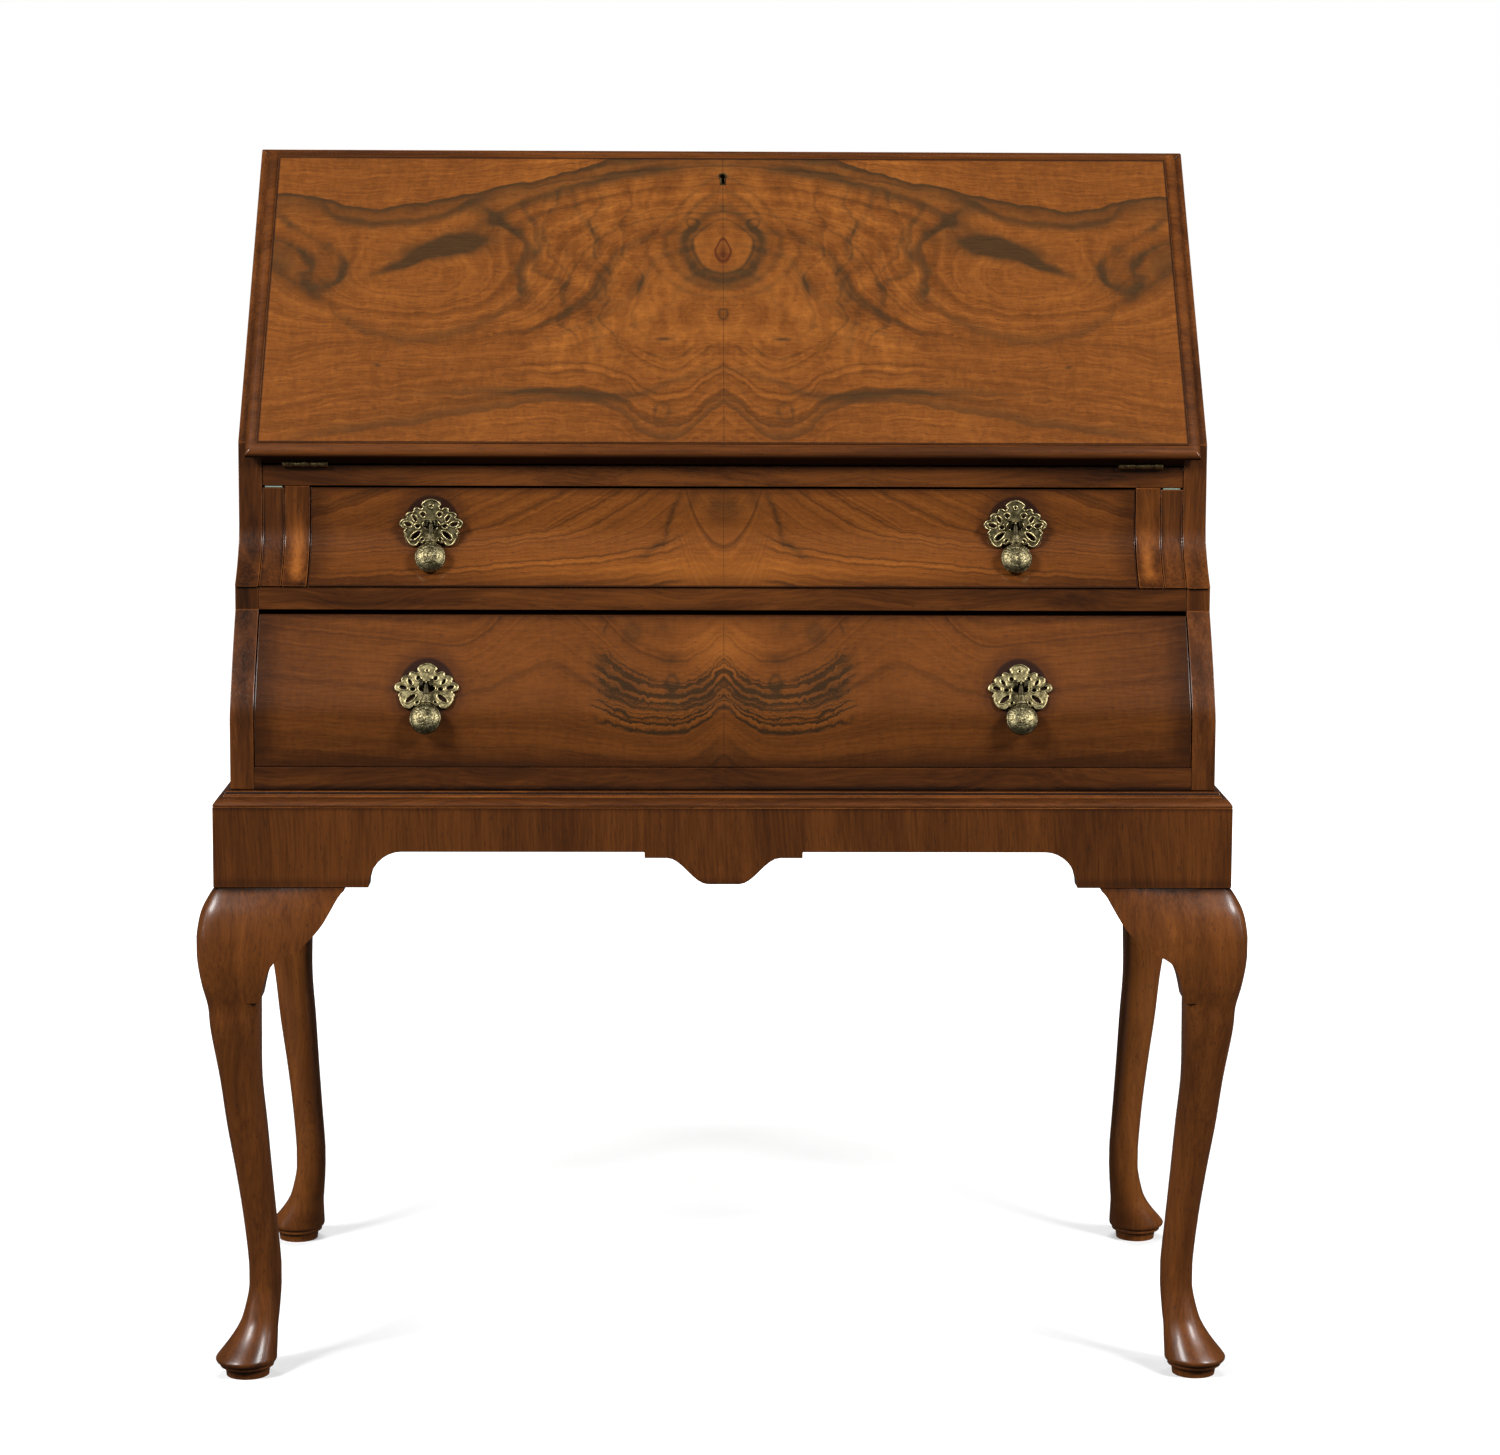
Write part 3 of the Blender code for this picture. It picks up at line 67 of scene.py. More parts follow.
turn_cos, turn_sin = math.cos(CAMERA_TURN), math.sin(CAMERA_TURN)
tip_cos, tip_sin = math.cos(CAMERA_TIP), math.sin(CAMERA_TIP)
right = Vector((turn_cos, turn_sin, 0))
ahead = Vector((-turn_sin * tip_cos, turn_cos * tip_cos, -tip_sin))
up = Vector((-turn_sin * tip_sin, turn_cos * tip_sin, tip_cos))
rolled_right = math.cos(CAMERA_ROLL) * right + math.sin(CAMERA_ROLL) * up
rolled_up = math.cos(CAMERA_ROLL) * up - math.sin(CAMERA_ROLL) * right

bpy.ops.object.camera_add()
camera = bpy.context.object
camera.name = "camera"
rows = zip(rolled_right, rolled_up, -ahead, CAMERA_PLACE)
camera.matrix_world = Matrix([list(row) for row in rows] + [[0, 0, 0, 1]])
camera.data.lens = LENS_SHARE * camera.data.sensor_width
camera.data.shift_y = -MIDDLE_SHARE
bpy.context.scene.camera = camera
print("camera", round(camera.data.lens, 1), "mm lens")

# %% [markdown]
# ## The room
# The bureau stands in a white studio, and the light comes from soft boxes, which are area lights. Two
# stand well out to the sides and high up, because polished fronts mirror what is in front of them: from
# there the boxes light the wood without laying a white streak over its figure, and only legs, swells
# and mouldings catch a glint. A third hangs behind the top, for the fall, and two narrow strips stand
# low at the sides, for the legs.

# %% Lay the floor and hang the lights
FLOOR_SIZE = 40
SOFT_BOXES = (
    ("left_box", (-2.7, -2.5, 3.1), (0, 0, 0.7), 1.3, 1.3, 190),
    ("right_box", (2.6, -2.3, 2.9), (0, 0, 0.7), 1.1, 1.1, 150),
    ("top_box", (0, 1.3, 3.0), (0, -0.1, 0.9), 2.4, 0.6, 60),
    ("left_strip", (-2.3, -0.9, 1.2), (0, 0, 0.6), 0.25, 1.8, 8),
    ("right_strip", (2.3, -0.7, 1.4), (0.3, 0, 0.7), 0.25, 1.8, 10),
)
bpy.context.scene.view_settings.view_transform = "Standard"
bpy.ops.mesh.primitive_plane_add(size=FLOOR_SIZE, location=(0, 0, 0))
floor = bpy.context.object
floor.name = "floor"
floor.visible_diffuse = False
floor.visible_glossy = False
for name, place, target, width, height, watts in SOFT_BOXES:
    bpy.ops.object.light_add(type="AREA", location=place)
    light = bpy.context.object
    light.name = name
    light.rotation_euler = (Vector(target) - Vector(place)).to_track_quat("-Z", "Y").to_euler()
    light.data.shape = "RECTANGLE"
    light.data.size = width
    light.data.size_y = height
    light.data.energy = watts
    light.visible_glossy = name != "top_box"
print(len(SOFT_BOXES), "soft boxes")

# %% [markdown]
# ## A shorthand for shader maths
# Wood figure is arithmetic: a distance from a line, a ripple, a threshold. In the node editor each sum
# is a Math node with its wires. Here a small class wraps a socket, so that a sum written in Python lays
# those nodes itself, and a finish reads like its own recipe. One function lays every node, from its
# type, its settings and what its sockets get. A ramp's stops and a curve's points are settings too.


# %% Wrap a socket
class Signal:
    """A value on its way through a material's nodes."""

    def __init__(self, tree, socket):
        self.tree = tree
        self.socket = socket

    def math(self, operation, *terms):
        return lay_node(self.tree, "ShaderNodeMath", {"operation": operation}, dict(enumerate(terms)))

    def __add__(self, other):
        return self.math("ADD", self, other)

    __radd__ = __add__

    def __sub__(self, other):
        return self.math("SUBTRACT", self, other)

    def __rsub__(self, other):
        return self.math("SUBTRACT", other, self)

    def __mul__(self, other):
        return self.math("MULTIPLY", self, other)

    __rmul__ = __mul__

    def __truediv__(self, other):
        return self.math("DIVIDE", self, other)

    def __pow__(self, other):
        return self.math("POWER", self, other)

    def size(self):
        return self.math("ABSOLUTE", self)

    def bigger(self, other):
        return self.math("MAXIMUM", self, other)

    def fall_off(self):
        """1 at zero, falling towards 0 as the signal grows."""
        return self.math("EXPONENT", self * -1.0)

    def bell(self):
        """1 at zero, falling off to both sides."""
        return (self * self).fall_off()

    def ease(self, start, end, low=0.0, high=1.0):
        """Goes smoothly from low to high while the signal goes from start to end."""
        if start > end:
            start, end, low, high = end, start, high, low
        sockets = {"Value": self, "From Min": start, "From Max": end, "To Min": low, "To Max": high}
        return lay_node(self.tree, "ShaderNodeMapRange", {"interpolation_type": "SMOOTHSTEP"}, sockets)

    def within(self, low_start, low_end, high_start, high_end):
        """1 between two soft limits and 0 outside them."""
        return self.ease(low_start, low_end) * self.ease(high_end, high_start)


# %% Lay a node
def wire(tree, term, socket):
    """Link a signal to a socket, or set the socket to a plain value."""
    if isinstance(term, Signal):
        tree.links.new(term.socket, socket)
    else:
        socket.default_value = term


def set_stops(ramp, stops):
    while len(ramp.elements) > 1:
        ramp.elements.remove(ramp.elements[-1])
    ramp.elements[0].position, ramp.elements[0].color = stops[0][0], (*stops[0][1], 1)
    for place, color in stops[1:]:
        ramp.elements.new(place).color = (*color, 1)


def set_points(mapping, points):
    curve = mapping.curves[0]
    curve.points[0].location = points[0]
    curve.points[1].location = points[-1]
    for point in points[1:-1]:
        curve.points.new(*point)
    mapping.update()


def lay_node(tree, kind, settings, sockets, output=0):
    """A node of some type, with its settings set first and then its sockets."""
    node = tree.nodes.new(kind)
    for key, value in settings.items():
        if key == "stops":
            set_stops(node.color_ramp, value)
        elif key == "points":
            set_points(node.mapping, value)
        else:
            setattr(node, key, value)
    for key, value in sockets.items():
        wire(tree, value, node.inputs[key])
    return Signal(tree, node.outputs[output])


# %% [markdown]
# ## The sky
# The sky is white to the camera, as a studio's wall is, and nearly dark to the wood, so that polished
# faces mirror little more than the soft boxes. A Light Path node tells the two apart.

# %% Light the sky
SKY_TO_CAMERA = 1.0
SKY_TO_WOOD = 0.05
world = bpy.data.worlds.new("studio")
bpy.context.scene.world = world
world.use_nodes = True
sky = world.node_tree.nodes["Background"]
sky.inputs["Color"].default_value = (1, 1, 1, 1)
seen = lay_node(world.node_tree, "ShaderNodeLightPath", {}, {}, "Is Camera Ray")
strength = lay_node(world.node_tree, "ShaderNodeMapRange", {},
                    {"Value": seen, "To Min": SKY_TO_WOOD, "To Max": SKY_TO_CAMERA})
wire(world.node_tree, strength, sky.inputs["Strength"])
print("sky", SKY_TO_WOOD, "to the wood and", SKY_TO_CAMERA, "to the camera")

# %% [markdown]
# ## Starting a finish
# Every finish here is a Principled shader with a recipe in front of it. One class starts the material
# and has a short method for each kind of step that the recipes share, such as noise that stands for
# fibres, a ramp that turns a tone into a colour, or one colour blended into another.


# %% Start a finish
class Finish:
    """A material and the nodes laid in it."""

    def __init__(self, name, **plain):
        self.material = bpy.data.materials.new(name)
        self.material.use_nodes = True
        self.tree = self.material.node_tree
        self.shader = self.tree.nodes["Principled BSDF"]
        self.feed(**plain)

    def node(self, kind, settings, sockets, output=0):
        return lay_node(self.tree, kind, settings, sockets, output)

    def feed(self, **signals):
        for key, signal in signals.items():
            wire(self.tree, signal, self.shader.inputs[key.replace("_", " ")])
        return self.material

    def place(self, scale=(1, 1, 1), turn=(0, 0, 0), shift=(0, 0, 0)):
        """The object's own coordinates in metres, stretched, turned or shifted."""
        spot = self.node("ShaderNodeTexCoord", {}, {}, "Object")
        return self.node("ShaderNodeMapping", {}, {"Vector": spot, "Scale": scale, "Rotation": turn,
                                                   "Location": shift})

    def axes(self, spot):
        split = self.node("ShaderNodeSeparateXYZ", {}, {"Vector": spot})
        outputs = split.socket.node.outputs
        return [Signal(self.tree, socket) for socket in outputs]

    def vector(self, x, y, z):
        return self.node("ShaderNodeCombineXYZ", {}, {"X": x, "Y": y, "Z": z})

    def noise(self, spot, scale, detail=2.0, rough=0.5, lean=0.0):
        """Even noise about 0, roughly from -0.5 to 0.5."""
        value = self.node("ShaderNodeTexNoise", {}, {"Vector": spot, "Scale": scale, "Detail": detail,
                                                     "Roughness": rough, "Distortion": lean}, "Fac")
        return value - 0.5

    def grade(self, value, stops):
        return self.node("ShaderNodeValToRGB", {"stops": stops}, {"Fac": value}, "Color")

    def curve(self, value, points):
        return self.node("ShaderNodeFloatCurve", {"points": points}, {"Value": value})

    def blend(self, share, first, second):
        """A colour that goes from the first to the second as the share goes from 0 to 1."""
        first, second = [(*term, 1) if isinstance(term, tuple) else term for term in (first, second)]
        return self.node("ShaderNodeMix", {"data_type": "RGBA"}, {0: share, 6: first, 7: second}, 2)

    def bump(self, height, depth, strength):
        return self.node("ShaderNodeBump", {},
                         {"Height": height, "Distance": depth, "Strength": strength})

    def contours(self, height, density, detail=3.0, rough=0.62):
        """Lines along the contours of a height map, about 0."""
        sockets = {"W": height * density, "Scale": 1.0, "Detail": detail, "Roughness": rough}
        return self.node("ShaderNodeTexNoise", {"noise_dimensions": "1D"}, sockets, "Fac") - 0.5

    def threads(self, height, density):
        """The finest of such lines."""
        return self.contours(height, density, 2.0, 0.6)

    def wax(self, color, pores, gloss):
        """Lay the polish over a colour: its pores dull it and dent it a little."""
        return self.feed(Base_Color=color, Roughness=gloss + pores * 0.06,
                         Normal=self.bump(pores * -1.0, 0.00010, 0.25))


# %% [markdown]
# ## Polished walnut
# Walnut's colour comes in layers. Broad clouds drift across a board, streaks and growth lines run with
# the grain, and on top lie the pores: short dark scratches that the polish doesn't quite fill. Each
# layer is noise stretched along the grain, fine for the pores and coarse for the clouds. The tone that
# they add up to picks a colour from a ramp, and the pores also dent the polish a little.

# %% Mix the wood's tone
WALNUT_STOPS = (
    (0.00, (0.016, 0.0058, 0.0026)),
    (0.25, (0.068, 0.0200, 0.0042)),
    (0.50, (0.155, 0.0465, 0.0085)),
    (0.75, (0.265, 0.0850, 0.0145)),
    (1.00, (0.430, 0.1550, 0.0280)),
)


def wood_layers(finish, spot, grain, depth=1.0, streak_scale=75.0):
    """Clouds, streaks and fibres of a board, about 0, and its pores from 0 to 1."""
    def along(ratio):
        stretch = tuple(ratio if axis == grain else 1.0 for axis in "XYZ")
        return finish.node("ShaderNodeVectorMath", {"operation": "MULTIPLY"}, {0: spot, 1: stretch})

    clouds = finish.noise(along(0.30), 9.0, 3.0)
    streaks = finish.noise(along(0.07), streak_scale, 3.0, 0.6, 0.4)
    fibres = finish.noise(along(0.045), 520.0, 2.0, 0.6)
    pores = finish.noise(along(0.14), 950.0, 1.0, 0.5).ease(0.12, 0.24)
    tone = clouds * (0.50 * depth) + streaks * (0.55 * depth) + fibres * 0.34
    return tone, pores


def polish(finish, tone, pores, stops=WALNUT_STOPS, gloss=0.24):
    """Colour a tone, cut the pores into it and lay the polish over it."""
    color = finish.blend(pores * 0.55, finish.grade(tone, stops), (0.020, 0.008, 0.004))
    return finish.wax(color, pores, gloss + tone * 0.10)


# %% [markdown]
# A board isn't the same all over: hands, dusters and spills leave pale and dark places, and where light
# falls on a board or doesn't, pale and dark places are painted in as highlight and shade. They are soft
# marks, such as discs, rings and lines, which are added to the tone. Their places and sizes are in
# millimetres, measured from the middle of the bureau and up from the floor.


# %% Lay marks on a surface
MM = 0.001


class Marks:
    """Soft marks on a surface, placed in millimetres across it and up it."""

    def __init__(self, finish, across, up):
        self.finish = finish
        self.across = across
        self.up = up

    def spot(self, x, y, wide, high, lean=0.0):
        """The way from a mark's middle, along it and across it, in its own half sizes."""
        dx, dy = self.across - x * MM, self.up - y * MM
        tilt_cos, tilt_sin = math.cos(lean), math.sin(lean)
        long = (dx * tilt_cos + dy * tilt_sin) / (wide * MM)
        short = (dy * tilt_cos - dx * tilt_sin) / (high * MM)
        return long, short

    def disc(self, x, y, wide, high, lean=0.0):
        long, short = self.spot(x, y, wide, high, lean)
        return (long * long + short * short).fall_off()

    def ring(self, x, y, wide, high, width):
        """A ring whose line is as wide as a share of its half size."""
        long, short = self.spot(x, y, wide, high)
        reach = (long * long + short * short) ** 0.5
        return ((reach - 1.0) / width).bell()

    def line(self, x0, y0, x1, y1, width):
        """A soft straight mark between two places."""
        length, lean = math.hypot(x1 - x0, y1 - y0), math.atan2(y1 - y0, x1 - x0)
        long, short = self.spot((x0 + x1) / 2, (y0 + y1) / 2, length / 2, width, lean)
        return (long ** 4.0 + short * short).fall_off()

    def add_up(self, mark, rows):
        """The sum of a mark's rows. Each row ends with its strength."""
        total = 0.0
        for *shape, strength in rows:
            total = total + mark(*shape) * strength
        return total


def walnut(name, grain, middle, gloss=0.24, depth=1.0, wander=0.010, shift=0.0, streak_scale=75.0,
           worn=(), coat=0.30, ior=1.45):
    """A plain board with its grain along an axis, and pale or dark places of wear, painted shade and painted
    highlight.
    """
    finish = Finish(name, Coat_Weight=coat, Coat_Roughness=0.10, IOR=ior)
    spot = finish.place(shift=(shift, shift, shift))
    drift = finish.node("ShaderNodeTexNoise", {}, {"Vector": spot, "Scale": 7.0, "Detail": 1.0}, "Color")
    for operation, sockets in (("SUBTRACT", {1: (0.5, 0.5, 0.5)}), ("SCALE", {"Scale": wander * 4}),
                               ("ADD", {1: spot})):
        drift = finish.node("ShaderNodeVectorMath", {"operation": operation}, {0: drift, **sockets})
    tone, pores = wood_layers(finish, drift, grain, depth, streak_scale)
    x, _, z = finish.axes(finish.place())
    marks = Marks(finish, x.size(), z)
    return polish(finish, tone + marks.add_up(marks.disc, worn) + middle, pores, gloss=gloss)


# %% [markdown]
# Each row of wear, painted shade or painted highlight is a disc: its place, its half width and height, its lean,
# and how much paler it is.

# %% Polish the boards
EVERYWHERE = 9000
RAIL_WEAR = (
    (60, 757, 60, 10, 0, 0.16), (200, 755, 45, 12, 0, 0.10), (330, 757, 50, 12, 0, -0.14),
    (50, 656, 50, 10, 0, 0.14), (190, 657, 40, 9, 0, 0.12), (300, 655, 60, 10, 0, -0.12),
)
# The uprights' pale patches are painted highlight, where their fronts turn up to the light; a thin dark line lies
# above the rail.
UPRIGHT_PAINTED_HIGHLIGHT_AND_LINE = (
    (358.5, 697, 6.4, 23, 0, 0.46), (358.5, 680, 5, 7, 0, 0.24), (359.5, 667, 12, 3, 0, -0.20),
)
LOPER_WEAR = ((370.6, 706, 2.2, 60, 0, -0.30), (388.9, 706, 2.2, 60, 0, -0.30))
SIDE_WEAR = ((398.5, 600, 7.2, 120, 0, -0.15), (398.5, 800, 7.2, 120, 0, -0.12))
# Painted shade: a black line and a darker band at the top of each leg, under the apron. The other rows are a
# faintly paler place at the knee and a darker one near the foot.
LEG_PAINTED_SHADE_AND_WEAR = (
    (400, 422.5, 80, 3.5, 0, -0.55), (400, 418, 80, 12, 0, -0.12), (385, 360, 20, 50, 0, 0.03),
    (400, 20, 50, 12, 0, -0.10),
)
# Painted shade and highlight along the moulding: two dark lines where shade falls in and under it, and a pale line
# on its fillet.
MOULDING_PAINTED_SHADE_AND_HIGHLIGHT = (
    (0, 498.5, EVERYWHERE, 2.4, 0, -0.28), (0, 492, EVERYWHERE, 1.3, 0, 0.10),
    (0, 503, EVERYWHERE, 2, 0, -0.20),
)
# Painted shade on the apron: a dark line under the moulding, a fainter one along its foot, and darker ends at its
# corners.
APRON_PAINTED_SHADE = (
    (0, 490, EVERYWHERE, 3, 0, -0.30), (0, 425, EVERYWHERE, 4, 0, -0.10),
    (422.5, 456, 10, 40, 0, -0.08),
)
rail_wood = walnut("rail_walnut", "X", 0.28, depth=1.1, worn=RAIL_WEAR)
side_wood = walnut("side_walnut", "Z", 0.34, shift=0.7, worn=SIDE_WEAR)
upright_wood = walnut("upright_walnut", "Z", 0.28, gloss=0.38, depth=1.2, shift=1.3, worn=UPRIGHT_PAINTED_HIGHLIGHT_AND_LINE,
                      coat=0.0, ior=1.22)
apron_wood = walnut("apron_walnut", "Z", 0.31, depth=0.8, wander=0.004, shift=2.1, streak_scale=24.0,
                    worn=APRON_PAINTED_SHADE)
leg_wood = walnut("leg_walnut", "Z", 0.41, gloss=0.30, depth=0.9, shift=3.4, worn=LEG_PAINTED_SHADE_AND_WEAR, coat=0.12)
# The rear legs take a paler copy of the legs' wood: painted light, for the light that reaches them from the bright
# studio behind.
rear_leg_wood_painted_light = walnut("rear_leg_walnut", "Z", 0.58, gloss=0.30, depth=0.9, shift=3.9, worn=LEG_PAINTED_SHADE_AND_WEAR,
                       coat=0.12)
moulding_wood = walnut("moulding_walnut", "X", 0.23, depth=0.8, shift=4.2, worn=MOULDING_PAINTED_SHADE_AND_HIGHLIGHT)
loper_wood = walnut("loper_walnut", "Z", 0.27, depth=0.8, shift=5.2, worn=LOPER_WEAR)
rubbed_wood_and_painted_glint = walnut("rubbed_walnut_and_painted_glint", "X", 0.42, gloss=0.20, depth=1.3, shift=6.0)


def count_nodes(*finishes):
    for finish in finishes:
        print(finish.name, len(finish.node_tree.nodes), "nodes")


count_nodes(rail_wood, side_wood, upright_wood, apron_wood, leg_wood, rear_leg_wood_painted_light, moulding_wood,
            loper_wood, rubbed_wood_and_painted_glint)

# %% [markdown]
# ## The fall's figured veneer
# The fall is veneered with two leaves cut one after the other from one burr and opened like a book, so
# the right half mirrors the left. Taking the distance from the seam instead of X gives that mirror for
# nothing. A height map over the leaf has a hill and a hollow where the burr's rings were, and the grain
# follows its contours. The darkest marks are drawn as strokes: curves with a soft falloff.

# %% Set out the leaf
SLOPE_TURN = math.radians(51.4535)
HINGE_PLACE = Vector((0, -0.132, 0.7665))
LEAF_HALF = 400              # the leaf's half width and height that the marks' curves span, in mm
LEAF_HEIGHT = 330
FIELD_HALF = 0.3925          # the flat field inside the moulding, from the seam and from the hinges
FIELD_FOOT = 0.0092
FIELD_TOP = 0.3165
SEAM_WIDTH = 0.00035


def on_the_slope(finish):
    """Coordinates on the fall: across it, up its slope and out of its face."""
    shift = Matrix.Rotation(-SLOPE_TURN, 3, "X") @ HINGE_PLACE
    return finish.place(turn=(-SLOPE_TURN, 0, 0), shift=tuple(-shift))


class Leaf(Marks):
    """Marks on the fall's leaf, and strokes that follow points across it or up it."""

    def line_through(self, points, upright=False):
        """How far out a line through the points lies, at each place along it."""
        run, length, reach = self.across, LEAF_HALF, LEAF_HEIGHT
        if upright:
            run, length, reach = self.up, LEAF_HEIGHT, LEAF_HALF
        shares = [(place / length, out / reach) for place, out in points]
        return self.finish.curve(run / (length * MM), shares) * (reach * MM)

    def stroke(self, points, raised, above, below, start, end, fade, upright):
        """A dark line through the points, which fades above and below them and at its ends."""
        run, away = (self.up, self.across) if upright else (self.across, self.up)
        away = away - raised * MM - self.line_through(points, upright)
        ends = [place * MM for place in (start - fade, start + fade, end - fade, end + fade)]
        return away.ease(above * MM, 0.0) * away.ease(-below * MM, 0.0) * run.within(*ends)


# %% [markdown]
# A stroke's points are millimetres on the leaf, along the stroke and out from the seam or the hinges. A
# row of the strokes' table gives the points and how far they are raised, how far the stroke fades above
# and below them, where it starts and ends, how softly, whether it runs up the leaf, and its strength.

# %% Set out the burr's marks
TOP_BAND = (
    (0, 318), (92, 315), (116, 308), (143, 298), (170, 288), (197, 280), (224, 273), (251, 268),
    (278, 262), (305, 258), (335, 262), (355, 269), (373, 272), (400, 273),
)
SECOND_BAND = (
    (0, 270), (200, 273), (218, 266), (234, 257), (250, 250), (272, 245), (299, 242), (323, 244),
    (341, 250), (352, 262), (400, 268),
)
CROWN_BAND = (
    (0, 306), (34, 305), (62, 304), (89, 298), (116, 289), (143, 278), (170, 266), (196, 251),
    (218, 242), (400, 230),
)
BOWL = (
    (0, 200), (165, 175), (175, 160), (188, 147), (209, 132), (235, 122), (266, 117), (298, 121),
    (323, 134), (336, 152), (345, 175), (400, 200),
)
LOW_BAND = (
    (0, 52), (17, 36), (33, 17), (48, 12), (69, 22), (85, 40), (112, 51), (151, 50), (190, 44),
    (242, 36), (294, 24), (346, 14), (400, 5),
)
LOW_SECOND_BAND = (
    (0, 90), (33, 77), (73, 62), (99, 58), (125, 60), (164, 62), (217, 63), (269, 58), (321, 50),
    (400, 36),
)
WAIST = (
    (0, 175), (153, 175), (163, 171), (178, 175), (193, 178), (213, 171), (230, 177), (240, 188),
    (251, 203), (330, 230),
)
INNER_WAIST = (
    (0, 160), (139, 137), (156, 134), (176, 140), (190, 158), (203, 164), (220, 159), (237, 161),
    (255, 170), (330, 190),
)
THIRD_WAIST = (
    (0, 110), (120, 108), (150, 118), (175, 104), (195, 118), (215, 110), (240, 122), (265, 130),
    (330, 150),
)
EDGE_SWIRL = (
    (0, 347), (168, 347), (177, 337), (191, 327), (200, 331), (211, 340), (222, 348), (231, 364),
    (244, 377), (257, 387), (330, 395),
)
OUTER_SWIRL = (
    (0, 352), (168, 354), (180, 364), (203, 362), (219, 374), (228, 388), (330, 395),
)
FALL_STROKES = (
    (TOP_BAND, 0, 1.6, 34, -50, 400, 20, False, 0.58),
    (TOP_BAND, 0, 1.4, 6, -50, 400, 20, False, 0.50),
    (SECOND_BAND, 0, 6, 12, 205, 352, 20, False, 0.55),
    (CROWN_BAND, 0, 7, 16, 45, 215, 20, False, 0.62),
    (BOWL, 0, 13, 7, 178, 338, 20, False, 0.50),
    (LOW_BAND, 0, 15, 3, -100, 360, 60, False, 0.60),
    (LOW_BAND, 13, 5, 3, -100, 240, 60, False, 0.32),
    (LOW_BAND, 26, 4, 2, -100, 90, 40, False, 0.26),
    (LOW_SECOND_BAND, 0, 8, 9, 20, 250, 80, False, 0.62),
    (WAIST, 0, 6, 14, 158, 252, 12, True, 0.78),
    (INNER_WAIST, 0, 6, 9, 130, 262, 12, True, 0.46),
    (THIRD_WAIST, 0, 6, 9, 105, 270, 12, True, 0.32),
)
FALL_DISCS = (
    (238, 217, 33, 10.5, -0.24, 2.60), (276, 199, 26, 4.8, -0.42, 1.40), (198, 248, 18, 8, 0.5, 0.80),
    (330, 190, 12, 15, 0, 0.46), (352, 172, 14, 9, 0, 0.44), (388, 205, 14, 26, 0, 0.55),
    (51, 117, 7, 2.2, 0, 0.80), (293, 89, 2.2, 1.6, 0, 0.90), (72, 176, 6, 10, 0.6, 0.60),
    (107, 158, 5, 9, -0.4, 0.45),
)
FALL_RINGS = (
    (0, 144, 4.5, 4.5, 0.30, 0.80), (27, 245, 5, 4.5, 0.30, 0.55), (51, 40, 7, 9, 0.30, 0.45),
)
EYE_RINGS = (
    (0, 219, 27, 30, 0.06, 0.50), (0, 226, 50, 54, 0.07, 0.42), (0, 228, 68, 66, 0.05, 0.30),
)


# %% Run the fibres across a leaf
def fine_grain(leaf, x, out):
    """Fibres and pores that run across a leaf, and a faint cross shimmer."""
    finish = leaf.finish
    fibres = finish.noise(finish.vector(x.size() * 0.07, leaf.up, out * 0.1), 460.0, 3.0, 0.7)
    pores = finish.noise(finish.vector(x.size() * 0.15, leaf.up, out * 0.1), 1000.0, 1.0)
    shimmer = finish.noise(finish.vector(leaf.across, leaf.up * 0.35, out), 240.0, 2.0, 0.6)
    return fibres, pores.ease(0.12, 0.24), shimmer


# %% [markdown]
# The eye in the middle of the fall is a knot at the edge of both leaves, and opening them like a book
# closes its rings. They are drawn out to a point at their top, like a tear, because the distance from
# the seam is stretched there, and a small red heart lies in them.

# %% Draw the eye
TEAR_START = 0.228           # how high the rings begin to draw in, and how fast they do
TEAR_RATE = 16.0
HEART_START = 0.214
HEART_RATE = 60.0


def tear_rings(finish, half, y, wander, mottle):
    """The eye's dark rings round the seam."""
    still = y + wander[1]
    tear = (half + wander[0]) * (1.0 + (still - TEAR_START).bigger(0.0) * TEAR_RATE)
    eye = Marks(finish, tear, still)
    fading = still.ease(0.266, 0.232, 0.50, 1.0)
    outer = eye.ring(0, 222, 34, 40, 0.19) * (0.95 + mottle * 1.9) * fading
    return outer + eye.add_up(eye.ring, EYE_RINGS)


def red_heart(finish, half, y):
    """The small red marks inside the rings."""
    pupil = Marks(finish, half * (1.0 + (y - HEART_START).bigger(0.0) * HEART_RATE), y)
    heart = pupil.ring(0, 214, 6.8, 12.5, 0.16) * 0.80 + pupil.disc(0, 213, 5.5, 10.5) * 0.55
    return heart + Marks(finish, half, y).disc(0, 208, 4, 3.5) * 0.50


# %% [markdown]
# The whole figure is the grain, which sets the tone, and the dark marks over it. The grain has its own
# way in each part of the leaf: fine and curly in the burr, upright beside it, plain at the outer top and
# in chevrons along the foot. A dark line of painted shade runs round the field, in the quirk where the
# veneer meets the moulding.

# %% Draw the fall's figure
GRAIN_HILLS = ((262, 172, 110, 55, 0, 0.090), (0, 236, 190, 100, 0, -0.110), (400, 80, 80, 70, 0, 0.050))


